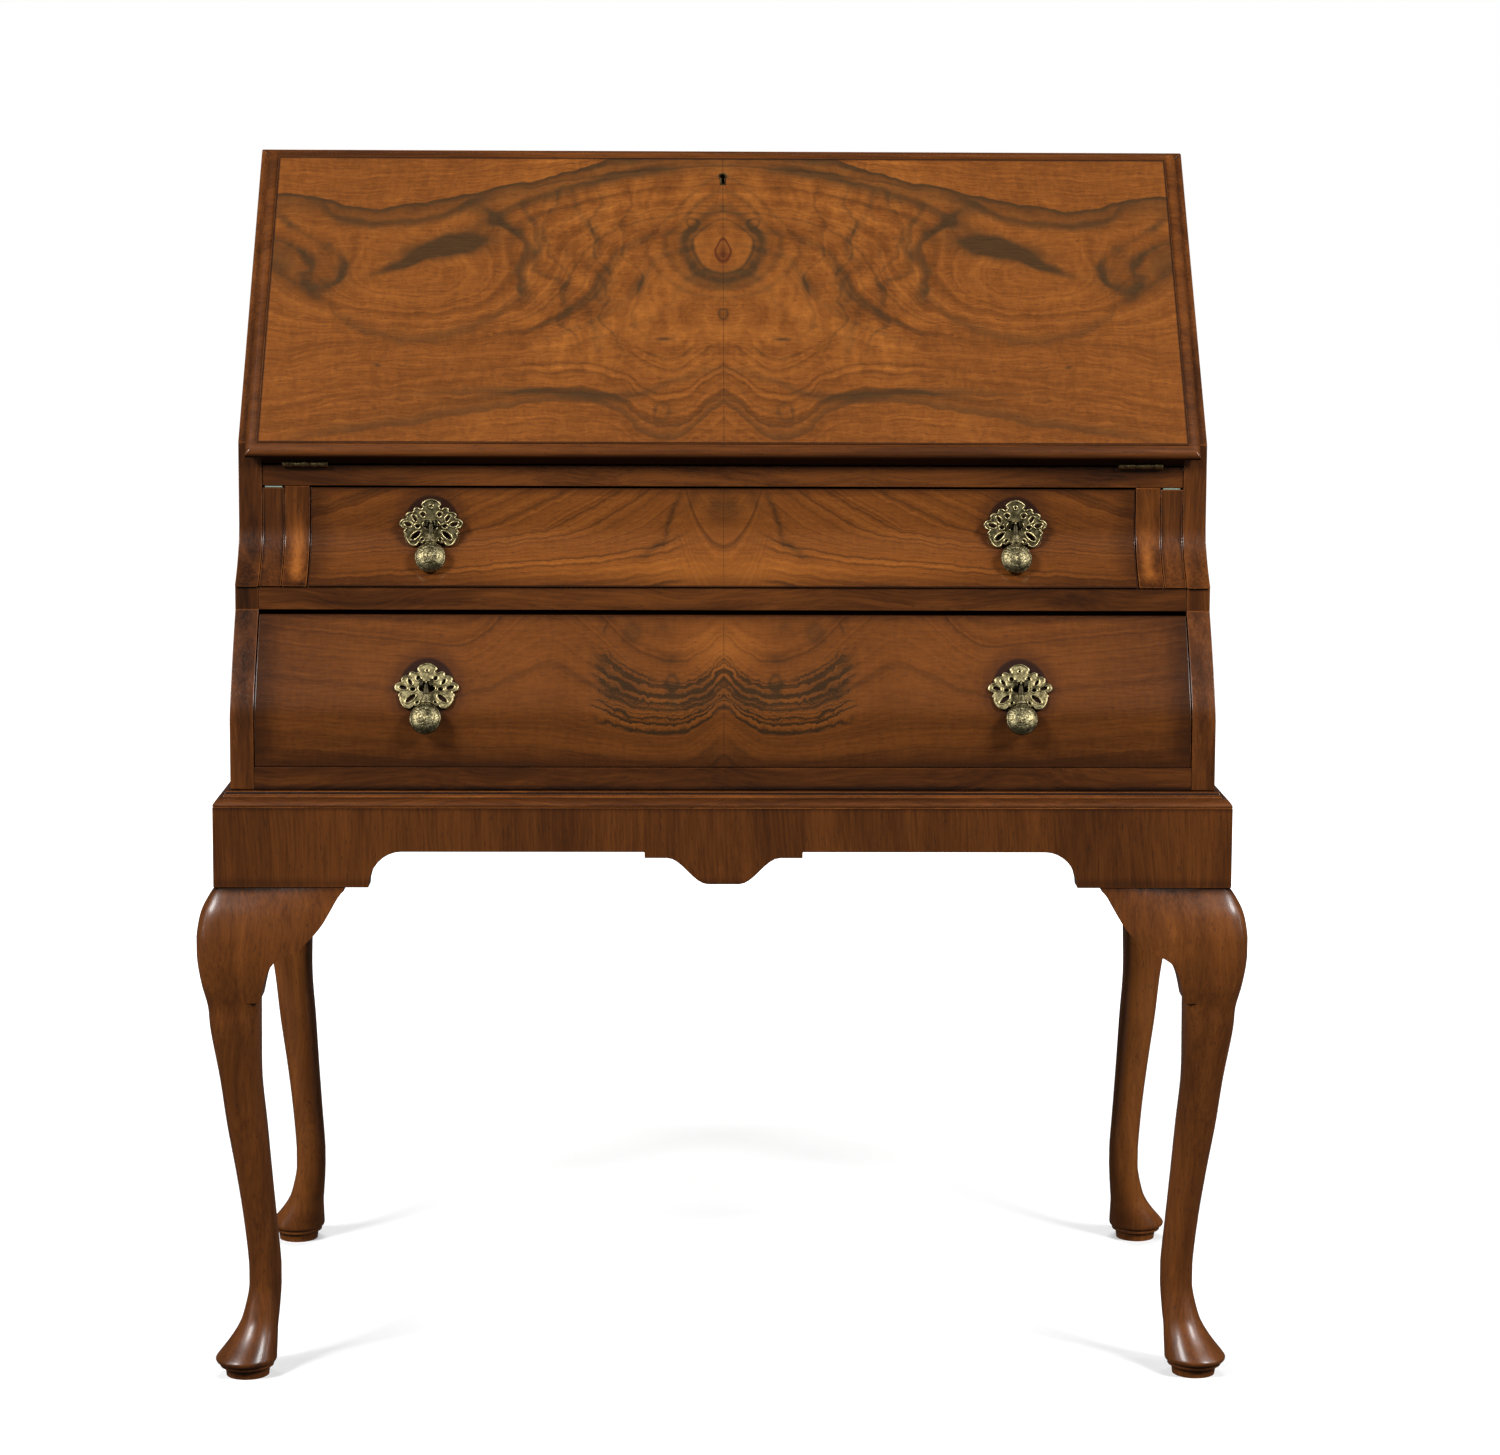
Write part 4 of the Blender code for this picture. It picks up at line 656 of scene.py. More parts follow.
def fall_veneer(name):
    finish = Finish(name, Coat_Weight=0.30, Coat_Roughness=0.08, IOR=1.45)
    x, y, out = finish.axes(on_the_slope(finish))
    half = x.size()
    mirrored = finish.vector(half, y, out * 0.2)
    slow_x = finish.noise(mirrored, 14.0, 2.0)
    slow_y = finish.noise(finish.vector(half + 3.0, y, out * 0.2), 14.0, 2.0)
    quick_x = finish.noise(mirrored, 55.0, 2.0, 0.5)
    quick_y = finish.noise(finish.vector(half + 7.0, y, out * 0.2), 55.0, 2.0, 0.5)
    across = half + slow_x * 0.016 + quick_x * 0.011
    along = y + slow_y * 0.012 + quick_y * 0.008
    leaf = Leaf(finish, across, along)

    # The grain follows the contours of a height map, and nested lines sweep along the leaf's foot.
    rise = along + leaf.add_up(leaf.disc, GRAIN_HILLS) - across * across * 0.12
    contour = finish.contours(rise, 42.0) * (1.0 - leaf.disc(0, 222, 100, 70) * 0.8)
    fine_contour = finish.threads(rise, 260.0)
    ripple = finish.contours(rise, 110.0)
    low_zone = along.ease(0.140, 0.070)
    sweep = along - leaf.line_through(LOW_BAND) * 0.85
    chevron = finish.contours(sweep + 0.3, 105.0, 2.0) * across.ease(0.30, 0.05, 0.50, 0.78)
    contour = contour * (1.0 - low_zone) + chevron * low_zone
    bend = finish.noise(finish.vector(0.3, along, 0.0), 24.0, 2.0, 0.5)
    upright_lines = finish.contours(across + bend * 0.046 - along * 0.16, 74.0, 2.0)
    upright_zone = across.within(0.045, 0.085, 0.150, 0.190) * along.within(0.075, 0.125, 0.262, 0.292)
    burr_zone = across.ease(0.205, 0.145) * along.ease(0.060, 0.115)
    plain_zone = along.ease(0.262, 0.285) * across.ease(0.12, 0.20)
    fibres, pores, shimmer = fine_grain(leaf, x, out)
    mottle = finish.noise(finish.vector(across * 1.5, along, out), 38.0, 3.0, 0.6)
    clouds = finish.noise(mirrored, 8.0, 2.0)

    tone = 0.530 + contour * (0.42 + burr_zone * 0.30 - plain_zone * 0.32) + fine_contour * 0.18
    tone = tone + fibres * 0.40 + shimmer * 0.24 + clouds * 0.26 + burr_zone * 0.05
    tone = tone + mottle * (burr_zone * 0.50 + 0.14)

    # The dark marks: strokes, discs and rings, the swirls at the ends, and lines in the grain's hollows.
    dark = leaf.add_up(leaf.stroke, FALL_STROKES) + leaf.add_up(leaf.disc, FALL_DISCS)
    dark = dark + leaf.add_up(leaf.ring, FALL_RINGS) + upright_lines.ease(0.04, -0.24) * upright_zone * 0.44
    dark = dark + leaf.stroke(EDGE_SWIRL, 0, 10, 8, 168, 256, 12, True) * (0.44 + mottle * 1.6)
    dark = dark + leaf.stroke(OUTER_SWIRL, 0, 8, 11, 160, 235, 12, True) * (0.42 + mottle * 1.2)
    dark = dark + leaf.disc(362, 190, 26, 34) * (0.34 + mottle * 1.4)
    dark = dark + contour.ease(-0.04, -0.20) * (0.34 + burr_zone * 0.30) * (1.0 - plain_zone * 0.8)
    dark = dark + ripple.ease(0.04, -0.26) * burr_zone * 0.34

    wander = (slow_x * 0.012 + quick_x * 0.003, slow_y * 0.010 + quick_y * 0.002)
    dark = dark + tear_rings(finish, half, y, wander, mottle)
    heart = red_heart(finish, half, y)
    figure = (dark * (0.86 + contour * 0.7 + fibres * 0.8 + mottle * 0.5)).ease(-0.15, 1.05, 0.0, 0.95)
    smoke = finish.blend(fibres * 1.4 + 0.5, (0.024, 0.013, 0.006), (0.062, 0.031, 0.011))
    color = finish.blend(figure, finish.grade(tone, WALNUT_STOPS), smoke)
    color = finish.blend(heart.ease(0.0, 0.9, 0.0, 0.85), color, (0.060, 0.014, 0.005))
    # Painted shade: a dark line in the quirk round the field.
    quirk_painted_shade = half.ease(FIELD_HALF - 0.0024, FIELD_HALF - 0.0012)
    quirk_painted_shade = quirk_painted_shade.bigger(y.ease(FIELD_FOOT + 0.0022, FIELD_FOOT + 0.0010))
    quirk_painted_shade = quirk_painted_shade.bigger(y.ease(FIELD_TOP - 0.0030, FIELD_TOP - 0.0012))
    seam = (x / SEAM_WIDTH).bell()
    dark_lines = (pores * 0.45).bigger(seam * 0.55).bigger(quirk_painted_shade * 0.9)
    color = finish.blend(dark_lines, color, (0.016, 0.007, 0.004))
    return finish.wax(color, pores, 0.25 + contour * 0.08)


fall_wood = fall_veneer("fall_veneer")
count_nodes(fall_wood)

# %% [markdown]
# The moulding round the field is solid walnut, darker and duller than the veneer. It is nearly black
# under its edge, with painted shade where it rounds down towards the hinges.

# %% Darken the fall's moulding
SHADE_OUT = (0.0160, 0.0090)      # the shade under the moulding, by the way out of the slope's face
SHADE_UP = (0.012, 0.004)         # and by the way up from the hinges


def lip_walnut(name):
    finish = Finish(name, Specular_IOR_Level=0.22, IOR=1.45)
    x, y, out = finish.axes(on_the_slope(finish))
    tone, pores = wood_layers(finish, finish.place(shift=(7.1, 7.1, 7.1)), "X", 0.8)
    # Painted shade: the foot of the moulding, where it rounds down towards the hinges, turns nearly black.
    under = out.ease(*SHADE_OUT) * y.ease(*SHADE_UP)
    inner = x.size().ease(FIELD_HALF + 0.0030, FIELD_HALF + 0.0010)
    tone = tone + 0.31 - under * 0.26 - inner * y.ease(FIELD_FOOT, FIELD_FOOT + 0.004) * 0.10
    color = finish.grade(tone, WALNUT_STOPS)
    color = finish.blend((pores * 0.5).bigger(under * 0.85), color, (0.012, 0.005, 0.003))
    return finish.feed(Base_Color=color, Roughness=0.36 + pores * 0.08)


lip_wood = lip_walnut("lip_walnut")
count_nodes(lip_wood)

# %% [markdown]
# ## The drawers' veneers
# The drawer fronts are bookmatched too. They share one leaf, which wanders a little so that no line is
# straight, and one way of polishing: the tone picks the walnut's colour, the figure turns it to smoke, and
# dark edges of dirt and painted shade, the seam, and the dirt and painted shadow round the pulls come last.

# %% Lay out a drawer's leaf
PULL_HALF_SPACING = 0.2465
RIM_REACH = (0.026, 0.016, 0.008)      # how far the dark reaches in from the ends, the foot and the top
PLATE_GRIME = (0.038, 0.025)           # the dirt round a backplate, from its outer end to its full depth
PLATE_SHADOW = (0.0245, 0.0215)


def drawer_leaf(name):
    """A drawer front's finish, the place on it with some wander, and its grain."""
    finish = Finish(name, Coat_Weight=0.18, Coat_Roughness=0.08, IOR=1.42)
    x, y, z = finish.axes(finish.place())
    mirrored = finish.vector(x.size(), y * 0.3, z)
    slow = finish.noise(mirrored, 11.0, 2.0)
    quick = finish.noise(mirrored, 70.0, 3.0, 0.6)
    leaf = Marks(finish, x.size() + slow * 0.010 + quick * 0.006, z + slow * 0.008 + quick * 0.005)
    leaf.x, leaf.z = x, z
    leaf.fibres, leaf.pores, leaf.shimmer = fine_grain(leaf, x, 0.0)
    leaf.clouds = finish.noise(mirrored, 7.0, 2.0)
    return leaf


def front_polish(leaf, tone, figure, half, foot, top, pull_height):
    """Colour a drawer front, with its seam, its dark edges of dirt and painted shade, and the dirt and painted
    shadow round its pulls.
    """
    finish, reach, z = leaf.finish, leaf.x.size(), leaf.z
    from_end, from_foot, from_top = RIM_REACH
    # The dark along the edges is dirt and painted shade: wide at the ends and the foot, narrow at the top, with a
    # thin near-black line at the very edge.
    rim = (reach.ease(half - from_end, half) * 0.6).bigger(z.ease(foot + from_foot, foot) * 0.6)
    rim = rim.bigger(z.ease(top - from_top, top) * 0.5)
    color = finish.grade(tone - rim * 0.20 - reach.ease(0.18, half) * 0.05, WALNUT_STOPS)
    smoke = finish.blend(leaf.fibres + 0.5, (0.018, 0.009, 0.004), (0.050, 0.024, 0.008))
    color = finish.blend(figure, color, smoke)
    edge = reach.ease(half - 0.0018, half - 0.0006).bigger(z.ease(top - 0.0016, top - 0.0005))
    edge = edge.bigger(z.ease(foot + 0.0018, foot + 0.0006))
    dark = (leaf.pores * 0.45).bigger((leaf.x / SEAM_WIDTH).bell() * 0.5)
    color = finish.blend(dark.bigger(rim * 0.55).bigger(edge * 0.85), color, (0.016, 0.006, 0.003))
    plate_x, plate_z = reach - PULL_HALF_SPACING, z - pull_height
    plate_reach = (plate_x * plate_x + plate_z * plate_z) ** 0.5
    # A halo of dirt round each plate, and nearer its edge the plate's painted shadow.
    grime_and_painted_shadow = plate_reach.ease(*PLATE_GRIME) * 0.40 + plate_reach.ease(*PLATE_SHADOW) * 0.52
    color = finish.blend(grime_and_painted_shadow, color, (0.014, 0.006, 0.005))
    return finish.wax(color, leaf.pores, 0.24 + leaf.fibres * 0.06)


# %% [markdown]
# On the upper drawer the lines fan out from the middle, and nested curves hang from its top at the seam.
# Both are contours: of a height that rises with a power of the distance from the seam, and of a parabola.

# %% Draw the upper drawer's fan
UPPER_FRONT = (0.3483, 0.6665, 0.7462, 0.7170)   # its half width, foot, top and the pulls' height
# Painted highlight: the foot of the upper drawer, where its hollow front flares out and turns up to the light, is
# paler.
UPPER_PAINTED_HIGHLIGHTS = ((30, 672, 60, 16, 0, 0.10), (130, 676, 130, 12, 0, 0.08))
UPPER_DISCS = ((4, 730, 10, 14, 0, 0.55), (26, 738, 5, 12, 0.3, 0.40))
UPPER_LINES = ((36.5, 744, 50, 702, 2.4, 0.65), (50, 702, 72, 686, 2.8, 0.45))


def upper_drawer_veneer(name):
    leaf = drawer_leaf(name)
    finish, across, up = leaf.finish, leaf.across, leaf.up
    fan = up + (across.bigger(0.002) / 0.35) ** 0.55 * 0.22 * up.ease(0.664, 0.715, 0.30, 1.0)
    lines, threads = finish.contours(fan, 96.0), finish.threads(fan, 420.0)
    cup = up - across * across * 46.0
    cup_lines, cup_threads = finish.contours(cup, 130.0), finish.threads(cup, 500.0)
    middle = across.ease(0.046, 0.024)
    tone = 0.44 + across.ease(0.30, 0.05) * 0.07 + leaf.fibres * 0.28 + leaf.shimmer * 0.12
    tone = tone + leaf.clouds * 0.26 + leaf.add_up(leaf.disc, UPPER_PAINTED_HIGHLIGHTS)
    tone = tone + (lines * 0.36 + threads * 0.26) * (1.0 - middle)
    tone = tone + (cup_lines * 0.24 + cup_threads * 0.12) * middle
    figure = lines.ease(-0.07, -0.24, 0.0, 0.64) * (1.0 - middle) * across.ease(0.36, 0.24)
    figure = figure + cup_lines.ease(-0.06, -0.26, 0.0, 0.44) * middle * up.ease(0.676, 0.690)
    figure = figure + leaf.add_up(leaf.disc, UPPER_DISCS) + leaf.add_up(leaf.line, UPPER_LINES)
    return front_polish(leaf, tone, figure, *UPPER_FRONT)


upper_wood = upper_drawer_veneer("upper_drawer_veneer")
count_nodes(upper_wood)

# %% [markdown]
# On the lower drawer a burr spreads on each side like a wing. Its dark lines sweep down, dip, and rise
# again to meet at the seam. The lines are contours again, and the dip is a curve through listed points.
# Inside the wing a curled noise breaks them into the burr's short, dense marks.

# %% Draw the lower drawer's wings
LOWER_FRONT = (0.3885, 0.5207, 0.6425, 0.5860)   # its half width, foot, top and the pulls' height
BURR_REACH = 0.12
DIP_HEIGHT = 0.023
FLARE_HEIGHT = 0.0060
FLARE_RATE = 67.0
DIP_SHARES = ((0.0, 1.0), (0.03, 0.92), (0.117, 0.50), (0.217, 0.20), (0.325, 0.0), (1.0, 0.0))
FLARE_SHARES = ((0.0, 0.0), (0.325, 0.0), (0.45, 0.10), (0.57, 0.25), (0.85, 0.80), (1.0, 1.0))
BURR_GLOWS = ((0, 617, 34, 16, 0, 0.24), (190, 610, 100, 22, 0, 0.07), (42, 577, 5, 8, 0, 0.20))
BURR_DISCS = (
    (43, 581, 5, 12, 0, 0.55), (76, 628, 9, 9, 0, 0.46), (50, 632, 9, 5, 0, 0.42),
    (45, 609, 11, 6, 0, 0.40), (100, 604, 12, 9, 0, 0.45), (10, 533, 12, 10, 0, 0.30),
)
BURR_RINGS = ((43, 590, 4.5, 5.5, 0.35, 0.40), (76, 628, 6, 6, 0.45, 0.16))
FLOW_LINES = ((0, 549, 88, 549, 1.2, 0.85), (0, 556, 105, 556, 0.9, 0.50))


def lower_drawer_veneer(name):
    leaf = drawer_leaf(name)
    finish, across, up = leaf.finish, leaf.across, leaf.up
    dip = finish.curve(across / BURR_REACH, DIP_SHARES) * DIP_HEIGHT
    flare = finish.curve(across / BURR_REACH, FLARE_SHARES) * FLARE_HEIGHT
    flare = flare * (1.0 + (up - 0.552) * FLARE_RATE).bigger(1.0) * across.ease(0.225, 0.130)
    flow = up - dip - flare - across * 0.035
    lines, threads = finish.contours(flow, 80.0), finish.threads(flow, 480.0)
    curl = finish.noise(finish.vector(across, 0.0, up), 75.0, 3.0, 0.6, 0.8)
    curled = flow + curl * 0.0105
    dense, hairs = finish.contours(curled, 290.0), finish.threads(curled, 800.0)

    ragged = flow + curl * 0.016
    wing = (across + curl * 0.030).ease(0.118, 0.094) * ragged.within(0.5440, 0.5510, 0.576, 0.600)
    heart = leaf.disc(75, 592, 38, 20, -0.5) + leaf.disc(22, 584, 22, 18, -0.7)
    tone = 0.375 + lines * 0.26 + threads * 0.12 + leaf.fibres * 0.28 + leaf.shimmer * 0.14
    tone = tone + leaf.clouds * 0.30 + leaf.add_up(leaf.disc, BURR_GLOWS) + across.ease(0.30, 0.10) * 0.05
    tone = tone - leaf.z.ease(0.565, 0.525) * 0.05 + wing * (0.03 + dense * 0.5 + hairs * 0.2)
    tone = tone + leaf.disc(43, 590, 10, 13) * curl * 0.6
    marks = (dense * -1.0 + hairs * -0.3).ease(-0.06, 0.18) * wing * (0.66 + heart * 0.80)
    marks = marks + wing * (0.16 + heart.ease(0.2, 1.0) * 0.34 + curl.ease(0.05, 0.30) * 0.40)
    calm = 1.0 - leaf.disc(50, 640, 85, 36) * 0.9
    marks = marks + lines.ease(-0.06, -0.24) * across.ease(0.38, 0.16) * calm * 0.40
    along_flow = Marks(finish, across, flow)
    marks = marks + along_flow.add_up(along_flow.line, FLOW_LINES) + leaf.add_up(leaf.ring, BURR_RINGS)
    marks = marks + leaf.add_up(leaf.disc, BURR_DISCS) + leaf.line(96, 636, 99, 626, 1.2) * 0.60
    return front_polish(leaf, tone, marks.ease(-0.1, 1.05, 0.0, 0.95), *LOWER_FRONT)


lower_wood = lower_drawer_veneer("lower_drawer_veneer")
count_nodes(lower_wood)

# %% [markdown]
# ## Old brass
# The brass is old: pale olive-yellow where hands rub it and brown-black in its hollows, with a dull
# grain. Patches pick between the two colours and specks of dirt lie on them. The drops also have leafy
# lines, which are the contour of a noise where it passes through zero.


# %% Age the brass
def brass(name, bright, dull, dirt=0.5, gloss=0.40, scrolls=0.0):
    """Old brass. Scrolls say how strongly leafy lines are cut into it."""
    finish = Finish(name, Metallic=1.0)
    spot = finish.place()
    patches = finish.noise(spot, 260.0, 3.0, 0.6)
    specks = finish.noise(spot, 1500.0, 2.0, 0.6)
    color = finish.blend((patches + specks * 0.5).ease(-0.16, 0.16), dull, bright)
    color = finish.blend(specks.ease(0.10, 0.22) * dirt, color, (0.035, 0.028, 0.012))
    cut = (finish.noise(spot, 240.0, 0.0, 0.4, 1.1) / 0.045).bell()
    color = finish.blend(cut * scrolls, color, (0.030, 0.024, 0.012))
    dents = finish.bump(specks + patches - cut * (scrolls * 2.0), 0.00018, 0.40)
    return finish.feed(Base_Color=color, Roughness=gloss + patches * 0.25, Normal=dents)


plate_brass = brass("plate_brass", (0.42, 0.355, 0.180), (0.15, 0.122, 0.056), 0.8, 0.46)
rim_brass = brass("rim_brass", (0.56, 0.480, 0.255), (0.22, 0.180, 0.085))
drop_brass = brass("drop_brass", (0.29, 0.250, 0.135), (0.13, 0.106, 0.052), gloss=0.42, scrolls=0.6)
# Painted shade: a near-black copy of the brass for the drops' necks and the posts, which sit in the fork's shadow.
neck_brass_painted_shade = brass("neck_brass_painted_shade", (0.060, 0.050, 0.028), (0.020, 0.016, 0.009), 0.8, 0.50)
hinge_brass = brass("hinge_brass", (0.34, 0.25, 0.11), (0.12, 0.085, 0.04), 0.8)
count_nodes(plate_brass, rim_brass, drop_brass, neck_brass_painted_shade, hinge_brass)

# %% [markdown]
# ## Oak, baize, leather and steel
# The drawers' linings and the pigeonholes are plain oak, wiped with wax. It is the walnut's recipe with
# paler stops and a duller polish. The lopers wear strips of baize, which is felted wool, and the writing
# surface is green leather, whose pebble grain is a smooth Voronoi pattern. The lock's bolt is steel.

# %% Mix the inner finishes
OAK_STOPS = ((0.0, (0.16, 0.085, 0.035)), (0.5, (0.36, 0.225, 0.105)), (1.0, (0.52, 0.36, 0.19)))
BAIZE_STOPS = ((0.0, (0.085, 0.115, 0.085)), (0.5, (0.20, 0.26, 0.20)), (1.0, (0.34, 0.38, 0.31)))
HIDE_STOPS = ((0.0, (0.016, 0.036, 0.015)), (0.5, (0.040, 0.075, 0.030)), (1.0, (0.09, 0.12, 0.055)))


def oak(name, grain, shift=0.0):
    finish = Finish(name, IOR=1.45)
    tone, pores = wood_layers(finish, finish.place(shift=(shift, shift, shift)), grain, 0.7)
    return polish(finish, tone + 0.5, pores, OAK_STOPS, 0.55)


def felt(name):
    finish = Finish(name, Sheen_Weight=0.4, Sheen_Roughness=0.5)
    spot = finish.place()
    wool = finish.noise(spot, 900.0, 3.0, 0.7)
    worn = finish.noise(spot, 45.0)
    color = finish.grade(wool * 0.9 + worn * 0.7 + 0.5, BAIZE_STOPS)
    fluff = finish.bump(wool, 0.0005, 0.8)
    return finish.feed(Base_Color=color, Roughness=0.95 + wool * 0.05, Normal=fluff)


def hide(name):
    finish = Finish(name)
    spot = finish.place()
    cells = finish.node("ShaderNodeTexVoronoi", {"feature": "SMOOTH_F1"},
                        {"Vector": spot, "Scale": 650.0}, "Distance")
    worn = finish.noise(spot, 8.0, 3.0)
    color = finish.grade(cells * 0.5 + worn * 0.9 + 0.25, HIDE_STOPS)
    pebbles = finish.bump(cells * -1.0, 0.0003, 0.7)
    return finish.feed(Base_Color=color, Roughness=0.46 + cells * 0.2, Normal=pebbles)


def dull_steel(name):
    finish = Finish(name, Metallic=1.0)
    scratches = finish.noise(finish.place(scale=(1, 0.05, 0.05)), 1800.0)
    color = finish.blend(scratches.ease(-0.2, 0.2), (0.22, 0.21, 0.20), (0.40, 0.39, 0.37))
    return finish.feed(Base_Color=color, Roughness=0.42 + scratches * 0.2)


oak_along_x = oak("oak_across", "X")
oak_along_y = oak("oak_along", "Y", 1.7)
oak_along_z = oak("oak_upright", "Z", 2.9)
baize = felt("green_baize")
leather = hide("writing_leather")
steel = dull_steel("dull_steel")
count_nodes(oak_along_x, oak_along_y, oak_along_z, baize, leather, steel)

# %% [markdown]
# ## Easing the arrises
# No edge on real furniture is knife sharp. The maker takes the arris off with a block plane, and a
# century of dusting rounds it and rubs the stain away. Each board is copied from its solid part: the
# copy's loose triangles are merged, flat regions become single faces again, and a Bevel of about half a
# millimetre eases every arris. Bevel can give the new narrow faces a second material, so the rubbed
# edges come out paler by themselves: partly as worn wood, and partly as painted highlight for the glint
# along each arris.


# %% Copy a board and ease it
MERGE_DISTANCE = 0.00002
FLAT_ANGLE = math.radians(0.25)
ARRIS_ANGLE = math.radians(32)
ARRIS = 0.0006
FALL_ARRIS = 0.0003          # finer, so that the lock's bolt still slides freely in its slot


def select_only(piece):
    bpy.ops.object.select_all(action="DESELECT")
    piece.select_set(True)
    bpy.context.view_layer.objects.active = piece


def edit_all():
    """Go into edit mode with all of the active piece selected."""
    bpy.ops.object.mode_set(mode="EDIT")
    bpy.ops.mesh.select_all(action="SELECT")


def fair_copy(node, name):
    """A solid part's copy, merged from loose triangles into whole faces."""
    select_only(frame["nodes"][node])
    bpy.ops.object.duplicate()
    piece = bpy.context.object
    for key in list(piece.keys()):
        del piece[key]
    piece.parent = None
    piece.name = name
    bpy.ops.mesh.customdata_custom_splitnormals_clear()
    edit_all()
    bpy.ops.mesh.remove_doubles(threshold=MERGE_DISTANCE)
    bpy.ops.mesh.dissolve_limited(angle_limit=FLAT_ANGLE)
    bpy.ops.object.mode_set(mode="OBJECT")
    piece.data.materials.clear()
    return piece


def stand_in(piece, node):
    """Let a piece stand for a solid part and move with it."""
    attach(piece, body_of_node[node])
    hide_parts(node)
    return piece


def eased(node, name, finish, width, edges):
    """A board's copy with its arrises taken off. The narrow new faces take the edges' finish."""
    piece = fair_copy(node, name)
    piece.data.materials.append(finish)
    piece.data.materials.append(edges)
    bpy.ops.object.shade_smooth()
    bevel = piece.modifiers.new("arrises", "BEVEL")
    bevel.width = width
    bevel.segments = 2
    bevel.limit_method = "ANGLE"
    bevel.angle_limit = ARRIS_ANGLE
    bevel.material = 1
    bpy.ops.object.modifier_apply(modifier="arrises")
    normals = piece.modifiers.new("flat_faces", "WEIGHTED_NORMAL")
    normals.keep_sharp = True
    normals.weight = 80
    bpy.ops.object.modifier_apply(modifier="flat_faces")
    return stand_in(piece, node)


# %% [markdown]
# Each board gets its own wood. Most have rubbed edges, paler as worn wood and as painted highlight. The
# drawers' fronts, the case's bottom and the rail between the drawers have dark ones, which stand for
# dirt and painted shade in the gaps between them.

# %% Ease the boards
BOARDS = {
    "side_left": side_wood, "side_right": side_wood, "top_board": moulding_wood,
    "case_bottom": moulding_wood, "dividing_rail": rail_wood, "writing_bed": rail_wood,
    "upright_left": upright_wood, "upright_right": upright_wood, "fall_panel": fall_wood,
    "upper_front": upper_wood, "lower_front": lower_wood, "loper_left": loper_wood,
    "loper_right": loper_wood, "front_apron": apron_wood, "side_apron_left": apron_wood,
    "side_apron_right": apron_wood, "back_rail": rail_wood, "stand_moulding": moulding_wood,
}
DARK_EDGED = ("upper_front", "lower_front", "case_bottom", "dividing_rail")
boards = {}
for node, finish in BOARDS.items():
    width = FALL_ARRIS if node == "fall_panel" else ARRIS
    edges = moulding_wood if node in DARK_EDGED else rubbed_wood_and_painted_glint
    boards[node] = eased(node, node + "_board", finish, width, edges)
    print(boards[node].name, len(boards[node].data.polygons), "faces")

# %% [markdown]
# The fall is one panel, but its veneer covers only the flat field. So every face outside the field takes
# the moulding's solid walnut instead.

# %% Give the fall's moulding its own wood
SLOPE_OUT = Vector((0, -math.sin(SLOPE_TURN), math.cos(SLOPE_TURN)))
SLOPE_UP = Vector((0, math.cos(SLOPE_TURN), math.sin(SLOPE_TURN)))
FIELD_OUT = 0.0180
FACES_OUT = 0.999            # the cosine of the field's faces with the way out of the slope
fall_board = boards["fall_panel"]
fall_board.data.materials.append(lip_wood)
for face in fall_board.data.polygons:
    reach = face.center - HINGE_PLACE
    on_field = reach.dot(SLOPE_OUT) > FIELD_OUT and face.normal.dot(SLOPE_OUT) > FACES_OUT
    inside = abs(face.center.x) < FIELD_HALF and reach.dot(SLOPE_UP) < FIELD_TOP
    if face.material_index == 0 and not (on_field and inside):
        face.material_index = 2
print(sum(face.material_index == 2 for face in fall_board.data.polygons), "faces of moulding")

# %% [markdown]
# ## Cabriole legs
# A cabriole leg is sawn from one square post and shaped with a spokeshave: out at the knee, in at the
# ankle, out again to the pad foot. Its sections change all the way, from a square with rounded corners
# at the knee to a circle at the ankle. So it starts as a flat grid with one row for each level. The grid
# is rolled up level by level, its seam is merged and its ends are filled, like a sheet of veneer round a
# former.

# %% Roll a grid into a shape
def rolled(name, rings, finish):
    """A grid whose rows become closed rings."""
    columns, rows = len(rings[0]), len(rings) - 1
    bpy.ops.object.select_all(action="DESELECT")
    bpy.ops.mesh.primitive_grid_add(x_subdivisions=columns, y_subdivisions=rows, size=1)
    piece = bpy.context.object
    piece.name = name
    for vertex in piece.data.vertices:
        column = round((vertex.co.x + 0.5) * columns) % columns
        row = round((vertex.co.y + 0.5) * rows)
        vertex.co = rings[row][column]
    edit_all()
    bpy.ops.mesh.remove_doubles(threshold=MERGE_DISTANCE)
    bpy.ops.mesh.fill_holes(sides=0)
    bpy.ops.mesh.select_all(action="SELECT")
    bpy.ops.mesh.normals_make_consistent(inside=False)
    bpy.ops.object.mode_set(mode="OBJECT")
    bpy.ops.object.shade_smooth_by_angle(angle=ARRIS_ANGLE)
    piece.data.materials.append(finish)
    return piece


def through(points, steps):
    """A smooth run through rows of numbers, with a few steps between each two."""
    out = []
    last = len(points) - 1
    for index in range(last):
        before, start = points[max(index - 1, 0)], points[index]
        end, after = points[index + 1], points[min(index + 2, last)]
        for step in range(steps):
            t = step / steps
            row = []
            for a, b, c, d in zip(before, start, end, after):
                low, high = min(b, c), max(b, c)
                value = 0.5 * (2 * b + (c - a) * t + (2 * a - 5 * b + 4 * c - d) * t * t
                               + (3 * b - a - 3 * c + d) * t * t * t)
                row.append(min(max(value, low), high))
            out.append(tuple(row))
    return out + [tuple(points[last])]


# %% [markdown]
# The leg's stations are shares, from the floor up: the height as a share of the leg's height, the
# centre's distance in from the corner and the half width as shares of the stock, and how square the
# outer corner and the other corners are, where 2 is round.

